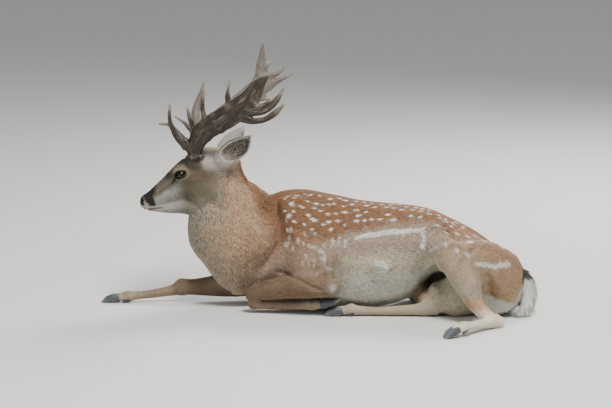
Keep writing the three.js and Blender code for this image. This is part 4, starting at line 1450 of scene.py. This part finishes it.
root_p = at_roots(skin_v)
root_n = unit(at_roots(skin_n))
root_parts = at_roots(skin_share.T).T
local_roots = to_head(root_p)
gaze_r, u_r, v_r, r_r = eye_frame(local_roots)
on_eye = (r_r < EYE_RADIUS + 5) & (eye_opening(u_r, v_r) < 2.2) & (gaze_r > 0)
on_nose = (local_roots[:, 0] + 0.25 * (local_roots[:, 2] + 90) < -240) & (local_roots[:, 2] > -101)
on_nose &= np.abs(local_roots[:, 1]) < 25
from_lip = np.abs(local_roots[:, 2] - lip_line(local_roots[:, 0]))
in_mouth = (from_lip < 2) & (local_roots[:, 0] < -180) & (root_parts[PARTS.index("head")] > 0.5)
keep = ~(on_eye | on_nose | in_mouth)
root_face, root_share, corners = root_face[keep], root_share[keep], corners[keep]
root_p, root_n, root_parts = root_p[keep], root_n[keep], root_parts[:, keep]
local_roots = local_roots[keep]
root_lie = lie_of(root_p, root_n, root_parts)
size = root_parts.T @ TUFT_TABLE
root_tone = coat_tone(root_p + root_lie * 0.5 * size[:, :1])
length, width, height = size[:, 0], size[:, 1], size[:, 2]
muzzle = smooth_step(-local_roots[:, 0], 120, 215) * root_parts[PARTS.index("head")]
length, width, height = (k * (1 - 0.45 * muzzle) for k in (length, width, height))
# long pale hairs line the inside of each ear
in_ear = np.zeros(len(root_p))
for way in (-1, 1):
    hollow, leaf = ear_hollows[way](local_roots), ear_strands[way](local_roots)
    in_ear += (hollow < 4) & (leaf < 0) & (local_roots[:, 1] * way > 0)
in_ear *= (root_parts[PARTS.index("ear")] > 0.6) * (random.rand(len(root_p)) < 0.28)
length = length + in_ear * 5
height = height + in_ear * 3
# a tuft of longer hair on the flank side of the belly
belly_tuft = glow(root_p, [160, -180, 170], 20)
length = length + belly_tuft * 12
height = height + belly_tuft * 5
root_tone = mix(root_tone, EAR_RIM, in_ear * 0.35)
count = len(root_p)
length = length * random.uniform(0.75, 1.25, count)
width = width * random.uniform(0.75, 1.3, count)
height = height * random.uniform(0.55, 1.15, count)
turn = random.randn(count) * 0.16
side = np.cross(root_n, root_lie)
lie = root_lie * np.cos(turn)[:, None] + side * np.sin(turn)[:, None]
side = np.cross(root_n, lie)
# A tuft: its root under the skin, three corners round its middle, and its tip. The shares are of its length
# along the skin, of its height off the skin, and of its width for its thickness.
ROOT_DEPTH, MIDDLE_ALONG, MIDDLE_RISE, TIP_ALONG, TIP_RISE, THICKNESS = 0.35, 0.42, 0.66, 0.97, 0.92, 0.30
LOWEST_HAIR = 0.6
L, Wd, Ht = length[:, None], width[:, None], height[:, None]
root_end = root_p - root_n * ROOT_DEPTH * Ht
middle = root_p + lie * MIDDLE_ALONG * L + root_n * MIDDLE_RISE * Ht
tip = root_p + lie * L * TIP_ALONG + root_n * Ht * TIP_RISE
thick = THICKNESS * Wd
lower = root_n * thick * 0.4
half_side = side * Wd / 2
tuft_v = np.stack(
    [root_end, middle - half_side - lower, middle + half_side - lower, middle + root_n * thick, tip], 1
)
tuft_v[:, :, 2] = np.maximum(tuft_v[:, :, 2], LOWEST_HAIR)
# the neck's hair is grizzled: more dark and pale hairs among it
grizzle = root_parts[PARTS.index("neck")] + 0.15 * root_parts[PARTS.index("trunk")]
grizzle = np.clip(grizzle, 0, 1)[:, None]
change = 1 + random.randn(count, 1) * (0.11 + 0.10 * grizzle)
dark_hair = random.rand(count, 1) < 0.03 + 0.16 * grizzle
change = np.where(dark_hair, change * 0.5, change)
pale_hair = random.rand(count, 1) < 0.03 + 0.14 * grizzle
change = np.where(pale_hair, change * 1.45, change)
# how light the root, the middle's corners and the tip are, on the body and on the neck
shade = np.array([0.70, 0.96, 0.96, 1.0, 1.10])
shade_neck = np.array([0.55, 0.9, 0.9, 0.96, 1.22])
vertex_shade = shade + (shade_neck - shade) * grizzle
tuft_tone = np.clip(root_tone[:, None, :] * (change * vertex_shade)[:, :, None], 0.004, 0.95)
leaning = root_n * 0.8
tuft_n = unit(np.stack([root_n, leaning - side * 0.6, leaning + side * 0.6, root_n, leaning + lie * 0.6], 1))
# lashes: fine dark hairs from the edge of the upper lid, as tufts that stand out
LASHES = 26
LASH_RADIUS = 0.35
LASH_TONE = 0.008
lash_u = np.linspace(-15, 14, LASHES)
lash_up = EYE_HALF[1] * (1 - (lash_u / EYE_HALF[0]) ** 2) + 1.5
lash_out = np.sqrt((EYE_RADIUS + 1.5) ** 2 - lash_u**2 - (EYE_HALF[1] * 0.8) ** 2)
lash_root = EYE_AT + np.outer(lash_u, eye_corner) + np.outer(lash_up, eye_lid) + np.outer(lash_out, eye_gaze)
lash_way = unit(eye_gaze * 0.95 + eye_lid * 0.35 + np.outer(lash_u / 40, eye_corner))
lash_long = 6.5 * random.uniform(0.7, 1.1, LASHES)
lash_v = []
for way in (-1, 1):
    flip = np.array([1, way, 1])
    r0, go = lash_root * flip, lash_way * flip
    across_lash = unit(np.cross(go, [0, 0, 1.0])) * LASH_RADIUS
    rise = np.array([0, 0, LASH_RADIUS])
    half = r0 + go * lash_long[:, None] * 0.5 - rise * 2.5
    end = r0 + go * lash_long[:, None] + rise * 2
    lash = np.stack([r0, half - across_lash, half + across_lash, half + rise, end], 1)
    lash_v.append(from_head(lash.reshape(-1, 3)).reshape(-1, 5, 3))
lash_v = np.concatenate(lash_v)
TUFT_FACES = np.array([[0, 1, 3], [0, 3, 2], [0, 2, 1], [4, 3, 1], [4, 2, 3], [4, 1, 2]])

MOST_TUFTS = 33000  # in one piece, at 6 triangles each
coat_mat, _ = coat_material("coat", 0.7)
main_part = root_parts.argmax(0)
GROUPS = {
    "coat_head": ("head", "ear"),
    "coat_neck": ("neck",),
    "coat_body": ("trunk",),
    "coat_limbs": ("thigh", "shank", "forearm", "cannon", "pastern", "groin"),
    "coat_tail": ("tail",),
}
BAKE_PATCH = 0.0015  # half the width of a tuft's patch on the bake map
corner_uv = skin_uv[root_face]
root_uv = (corner_uv * root_share[:, :, None]).sum(1)
PATCH = np.array([[0, -1], [-1, 0], [1, 0], [0, 0], [0, 1]]) * BAKE_PATCH
for name, members in GROUPS.items():
    mine = np.flatnonzero(np.isin(main_part, [PARTS.index(member) for member in members]))
    mine = mine[np.argsort(root_p[mine, 0], kind="stable")]
    parts = max(1, math.ceil(len(mine) / MOST_TUFTS))
    for k, some in enumerate(np.array_split(mine, parts)):
        made = tuft_v[some]
        tones = tuft_tone[some]
        facing = tuft_n[some]
        middle_uv = root_uv[some]
        if name == "coat_head":
            nearest = [np.abs(root_p[some] - v[0]).sum(1).argmin() for v in lash_v]
            made = np.concatenate([made, lash_v])
            tones = np.concatenate([tones, np.full((len(lash_v), 5, 3), LASH_TONE)])
            facing = np.concatenate([facing, facing[nearest]])
            middle_uv = np.concatenate([middle_uv, middle_uv[nearest]])
        faces = (TUFT_FACES[None] + (np.arange(len(made)) * 5)[:, None, None]).reshape(-1, 3)
        piece = add_mesh(
            f"{name}_{k}" if parts > 1 else name, made.reshape(-1, 3), faces, coat_mat, tones.reshape(-1, 3)
        )
        piece.data.normals_split_custom_set_from_vertices(facing.reshape(-1, 3))
        uv = (middle_uv[:, None] + PATCH[None]).reshape(-1, 2)
        add_bake_map(piece, uv[faces])
        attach(piece, "root")

# ---------------------------------------------------------------- the antlers
ANTLERS = {
    "left": {
        "beam": [
            [-76, 42, 54, 22, 22], [-75, 47, 76, 21, 20], [-71, 57, 100, 27, 19], [-56, 74, 130, 32, 17],
            [-32, 92, 156, 35, 16], [-2, 112, 174, 35, 15],
        ],
        "palm": [
            [-2, 112, 174, 35, 15], [48, 145, 206, 37, 13], [94, 170, 241, 34, 11],
            [110, 180, 263, 29, 10], [128, 189, 292, 23, 8], [147, 195, 313, 12, 7],
            [161, 197, 324, 5, 4],
        ],
        "brow": [
            [-92, 48, 88, 20, 12], [-125, 66, 120, 14, 12], [-144, 80, 151, 9, 10], [-155, 86, 186, 7, 8],
            [-154, 82, 233, 3.4, 3.4],
        ],
        "bay": [[-78, 74, 158, 9, 10], [-91, 87, 190, 7, 8], [-97, 94, 221, 3.4, 3.4]],
        "trez": [
            [-38, 90, 176, 11, 12], [-48, 110, 216, 7, 8], [-46, 120, 255, 5, 6],
            [-41, 120, 277, 3.4, 3.4],
        ],
        "front": [[38, 134, 224, 11, 11], [33, 149, 262, 7, 8], [39, 156, 311, 3.4, 3.4]],
        "low_speller": [
            [76, 160, 194, 17, 10], [120, 176, 183, 10, 9], [156, 186, 190, 9, 7],
            [184, 190, 208, 9.5, 6], [205, 190, 229, 5.5, 4.5], [212, 190, 236, 3.4, 3.4],
        ],
        "mid_speller": [
            [96, 172, 212, 15, 10], [138, 188, 211, 9, 8], [168, 196, 229, 11, 8], [190, 198, 251, 10, 7],
            [212, 196, 288, 3.4, 3.4],
        ],
        "high_speller": [
            [106, 178, 241, 15, 9], [135, 186, 230, 8, 7], [163, 184, 242, 5, 6],
            [189, 180, 261, 3.4, 3.4],
        ],
    },
    "right": {
        "beam": [
            [-76, 42, 54, 22, 22], [-76, 47, 72, 21, 20], [-75, 57, 94, 27, 19], [-62, 74, 122, 32, 17],
            [-38, 92, 149, 33, 15], [-8, 112, 168, 31, 14],
        ],
        "palm": [
            [-8, 112, 168, 34, 15], [46, 145, 208, 34, 13], [101, 170, 254, 33, 11],
            [128, 182, 279, 31, 10], [138, 190, 308, 27, 8], [134, 196, 338, 19, 7],
            [136, 199, 371, 13, 6], [140, 200, 420, 3.4, 3.4],
        ],
        "brow": [
            [-96, 48, 90, 18, 12], [-131, 66, 125, 12, 11], [-151, 78, 146, 8, 9], [-166, 90, 159, 6, 7],
            [-197, 100, 160, 3.4, 3.4],
        ],
        "bay": [[-84, 68, 132, 9, 9], [-111, 84, 162, 6, 7], [-144, 92, 184, 3.4, 3.4]],
        "trez": [
            [-72, 80, 160, 17, 12], [-78, 94, 193, 15, 10], [-72, 106, 226, 12, 8], [-60, 113, 267, 6, 6],
            [-52, 114, 297, 3.4, 3.4],
        ],
        "back": [[93, 160, 224, 14, 9], [123, 172, 238, 8, 7], [168, 182, 238, 3.4, 3.4]],
        "low_speller": [
            [129, 180, 269, 21, 8], [160, 188, 284, 19, 8], [184, 192, 295, 10, 7],
            [237, 196, 321, 3.4, 3.4],
        ],
        "mid_speller": [
            [135, 188, 305, 20, 8], [163, 194, 316, 10, 7], [190, 198, 323, 6, 6],
            [214, 200, 346, 3.4, 3.4],
        ],
        "high_speller": [[132, 196, 346, 13, 6], [154, 199, 353, 8, 5], [173, 202, 362, 3.4, 3.4]],
    },
}
BURR_AT = (-76, 44, 62)
ANTLER_DARK = linear(34, 28, 21)
ANTLER_MID = linear(60, 50, 39)
# pale: the worn ridges and tips, and painted light on the upper far antler
ANTLER_WORN_AND_LIT = linear(142, 134, 124)


class Antler:
    """One antler in the head's frame: beam, palm and tines run into each other, with grooves and pearls."""

    def __init__(self, way, table):
        up = (-0.6, way * 0.1, 0.8)
        self.strands = [Strand(side_of(stations, way), up=up, steps=4) for stations in table.values()]
        self.burr_at = [BURR_AT[0], way * BURR_AT[1], BURR_AT[2]]
        self.burr = blob(self.burr_at, [29, 29, 9])

    def __call__(self, p, marks=False):
        """The distance, and with marks how worn and pale each place is too."""
        d = np.full(len(p), FAR)
        worn = np.zeros(len(p))
        nearest = np.full(len(p), FAR)
        for i, strand in enumerate(self.strands):
            s, _, place = strand(p, lie=True)
            along, angle = place.T
            q = np.stack([np.cos(angle) * 16, np.sin(angle) * 16, along / 8 + i * 31], 1)
            fade = smooth_step(strand.length - along, 0, 70) * 0.85 + 0.15
            groove = (noise(q, 4.4, 3) + noise(q, 2.1, 5) * 0.5) * fade
            swell = noise(p, 26, 13) * 1.3 * fade
            d = soft_min(12 if i < 2 else 9, d, s + groove + swell)
            tip = smooth_step(along, strand.length - 55, strand.length - 5) if i > 1 else 0
            closer = s < nearest
            worn = np.where(closer, np.clip(-groove * 0.45, -0.3, 0.5) + 0.55 * tip, worn)
            nearest = np.minimum(nearest, s)
        from_burr = np.linalg.norm(p - self.burr_at, axis=1)
        pearls = smooth_step(noise(p, 6.5, 8), 0.05, 0.7) * smooth_step(-from_burr, -120, -30)
        d = d - 2.6 * pearls
        burr = self.burr(p) - 3.2 * smooth_step(noise(p, 7.5, 9), -0.2, 0.6)
        d = soft_min(3, d, burr)
        return (d, worn + 0.3 * pearls) if marks else d


ANTLER_STEP = 2.5
antler_mat, _ = coat_material("antler", 0.55, 0.4)
for side, way in SIDES:
    antler = Antler(way, ANTLERS[side])
    grid = [spaced(low, high, ANTLER_STEP) for low, high in ((-206, 244), (30, 212), (50, 430))]
    grid[1] = np.sort(grid[1] * way)
    antler_v, antler_t = main_body(*surface_nets(antler, grid, 5))
    for _ in range(2):
        antler_v = settle(antler_v, antler_t, antler, 0.4, 1.0)
    worn = antler(antler_v, marks=True)[1] + 0.16 * noise(antler_v, 16, 7) + 0.10 * noise(antler_v, 4, 2)
    tone = mix(plain(ANTLER_MID, antler_v), ANTLER_WORN_AND_LIT, smooth_step(worn, 0.05, 0.75) * 0.85)
    tone = mix(tone, ANTLER_DARK, smooth_step(-worn, -0.10, 0.22) * 0.9)
    tone = mix(tone, ANTLER_DARK, smooth_step(-antler_v[:, 2], -190, -90) * 0.55)
    # painted sunlight: the far antler's upper parts are paler than the near one's
    if side == "right":
        tone = mix(tone, ANTLER_WORN_AND_LIT, smooth_step(antler_v[:, 2], 110, 220) * 0.4)
    piece = add_mesh(f"antler_{side}", from_head(antler_v), antler_t, antler_mat, tone)
    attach(piece, "root")
    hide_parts(*[n for n in frame["nodes"] if n.startswith(f"antler_{side}")])

# ---------------------------------------------------------------- hooves and dewclaws
HORN = linear(84, 90, 96)
HORN_DARK = linear(48, 50, 54)
HORN_EDGE = linear(132, 132, 126)
LOWEST_HORN = 0.4
CLAW_MIDDLE = (CLAW["start"] + CLAW["end"]) / 2
RING_GAP = 3.4  # between the growth rings, which slope back as they rise
RING_SLOPE = 0.35
claw_strands = [
    Strand(
        [
            [CLAW["start"] - 2, -1, way * CLAW["apart"], CLAW["tall"] * 0.85, CLAW["wide"] * 0.85],
            [CLAW["start"] + 12, -3, way * CLAW["apart"], CLAW["tall"], CLAW["wide"]],
            [CLAW_MIDDLE + 8, -7, way * CLAW["apart"], CLAW["tall"] * 0.78, CLAW["wide"] * 0.86],
            [CLAW["end"] - 3, -13.5, way * CLAW["apart"] * 0.7, 4, 4],
        ],
        up=(0, 1, 0),
        steps=5,
    )
    for way in (-1, 1)
]
dewclaw_strands = [
    Strand(
        [
            [-4, 4 - DEWCLAW["back"], way * DEWCLAW["apart"], 6.5, 6],
            [5, 1 - DEWCLAW["back"], way * (DEWCLAW["apart"] + 1), 6, 5.5],
            [17, -3 - DEWCLAW["back"], way * (DEWCLAW["apart"] + 2), 3, 3],
        ],
        up=(0, 1, 0),
        steps=3,
    )
    for way in (-1, 1)
]


def horn_field(p):
    """The claws and dewclaws of one foot, in the foot's own frame."""
    a, u, s = p.T
    claws = np.minimum(claw_strands[0](p), claw_strands[1](p))
    claws = claws + 0.28 * np.sin((a + RING_SLOPE * u) * 2 * math.pi / RING_GAP) * smooth_step(84 - a, 0, 16)
    claws = soft_max(2, claws, -17.2 - u)  # flat soles
    claws = soft_max(1.5, claws, 1.1 - np.abs(s))  # the cleft between the claws
    return np.minimum(claws, np.minimum(dewclaw_strands[0](p), dewclaw_strands[1](p)))


horn_grid = [spaced(-14, 98, 1.5), spaced(-28, 20, 1.5), spaced(-27, 27, 1.35)]
horn_v, horn_t = surface_nets(horn_field, horn_grid)
horn_v = project(relax(horn_v, horn_t, 0.4), horn_field, vertex_normals(horn_v, horn_t), 0.8)
a, u, s = horn_v.T
rings = np.sin((a + RING_SLOPE * u) * 2 * math.pi / RING_GAP + noise(horn_v, 9, 4))
horn_tone = mix(plain(HORN, horn_v), HORN_DARK, 0.35 + 0.3 * rings + 0.35 * noise(horn_v, 8, 3))
horn_tone = mix(horn_tone, HORN_EDGE, smooth_step(a, 66, 88) * 0.5 + smooth_step(-u, 14.5, 17) * 0.35)
horn_tone = mix(horn_tone, HORN_DARK, smooth_step(24 - a, 0, 4) * 0.8)
horn_mat, _ = coat_material("horn", 0.38, 0.5)
for foot_name, (fetlock, toe, dorsal, size) in FEET.items():
    at, along, up, side = foot_frame(fetlock, toe, dorsal, size)
    placed = np.array(fetlock) + size * (horn_v @ np.array([along, up, side]))
    placed[:, 2] = np.maximum(placed[:, 2], LOWEST_HORN)
    piece = add_mesh(f"hooves_{foot_name}", placed, horn_t, horn_mat, horn_tone)
    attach(piece, "root")
    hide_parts(f"{foot_name}_claw_inner", f"{foot_name}_claw_outer")

# ---------------------------------------------------------------- the eyes
EYE_RINGS, EYE_SIDES = 44, 56
IRIS_RADIUS = 0.60  # as an angle at the middle of the eyeball
IRIS = linear(46, 30, 18)
IRIS_DARK = linear(22, 15, 10)
EYE_WHITE = linear(48, 38, 32)
PUPIL = np.full(3, 0.002)
PUPIL_HALF = (0.40, 0.20)  # half its length and height, as shares of the eyeball's radius
# t is the angle from the middle of the pupil, f the way round it; the rings are closer together in front
ring_t = np.linspace(0, 1, EYE_RINGS + 1)[1:-1] ** 1.4 * math.pi
t, f = np.meshgrid(ring_t, np.arange(EYE_SIDES) / EYE_SIDES * 2 * math.pi, indexing="ij")
t, f = np.append(t.ravel(), [0, math.pi]), np.append(f.ravel(), [0, 0])
bulge = EYE_RADIUS * (1 + 0.05 * np.exp(-((t / 0.6) ** 2)))
flat_u, flat_v = np.sin(t) * np.cos(f), np.sin(t) * np.sin(f)
ball = np.cos(t)[:, None] * eye_gaze + flat_u[:, None] * eye_corner + flat_v[:, None] * eye_lid
ball = bulge[:, None] * ball
streaks = noise(np.stack([np.cos(f) * 9, np.sin(f) * 9, t * 2], 1), 1.1, 6)
eye_tone = mix(plain(IRIS_DARK, ball), IRIS, smooth_step(t, 0.25, 0.5) * (0.6 + 0.4 * streaks))
eye_tone = mix(eye_tone, IRIS_DARK * 0.5, smooth_step(t, IRIS_RADIUS - 0.09, IRIS_RADIUS))
eye_tone = mix(eye_tone, EYE_WHITE, smooth_step(t, IRIS_RADIUS + 0.18, IRIS_RADIUS + 0.4) * 0.8)
pupil = np.hypot(flat_u / PUPIL_HALF[0], flat_v / PUPIL_HALF[1])
eye_tone = mix(eye_tone, PUPIL, smooth_step(-pupil, -1.12, -0.9))
inner_rings = EYE_RINGS - 1
last = (inner_rings - 1) * EYE_SIDES
front, back_pole = inner_rings * EYE_SIDES, inner_rings * EYE_SIDES + 1
faces = []
for start in range(0, last, EYE_SIDES):
    for j in range(EYE_SIDES):
        k = (j + 1) % EYE_SIDES
        a0, a1, b0, b1 = start + j, start + k, start + EYE_SIDES + j, start + EYE_SIDES + k
        faces += [[a0, b0, b1], [a0, b1, a1]]
for j in range(EYE_SIDES):
    k = (j + 1) % EYE_SIDES
    faces += [[front, j, k], [back_pole, last + k, last + j]]
faces = np.array(faces)
eye_mat, eye_shader = coat_material("eye", 0.05, 0.32)
eye_shader.inputs["Coat Weight"].default_value = 0.12
eye_shader.inputs["Coat Roughness"].default_value = 0.02
for side, way in SIDES:
    place = (EYE_AT + ball) * [1, way, 1]
    a, b, c = (place[faces[:, i]] for i in range(3))
    out = (np.cross(b - a, c - a) * ((a + b + c) / 3 - EYE_AT * [1, way, 1])).sum()
    facing = faces if out > 0 else faces[:, ::-1]
    piece = add_mesh(f"eyeball_{side}", from_head(place), facing, eye_mat, eye_tone)
    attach(piece, "root")
    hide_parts(f"eye_{side}")
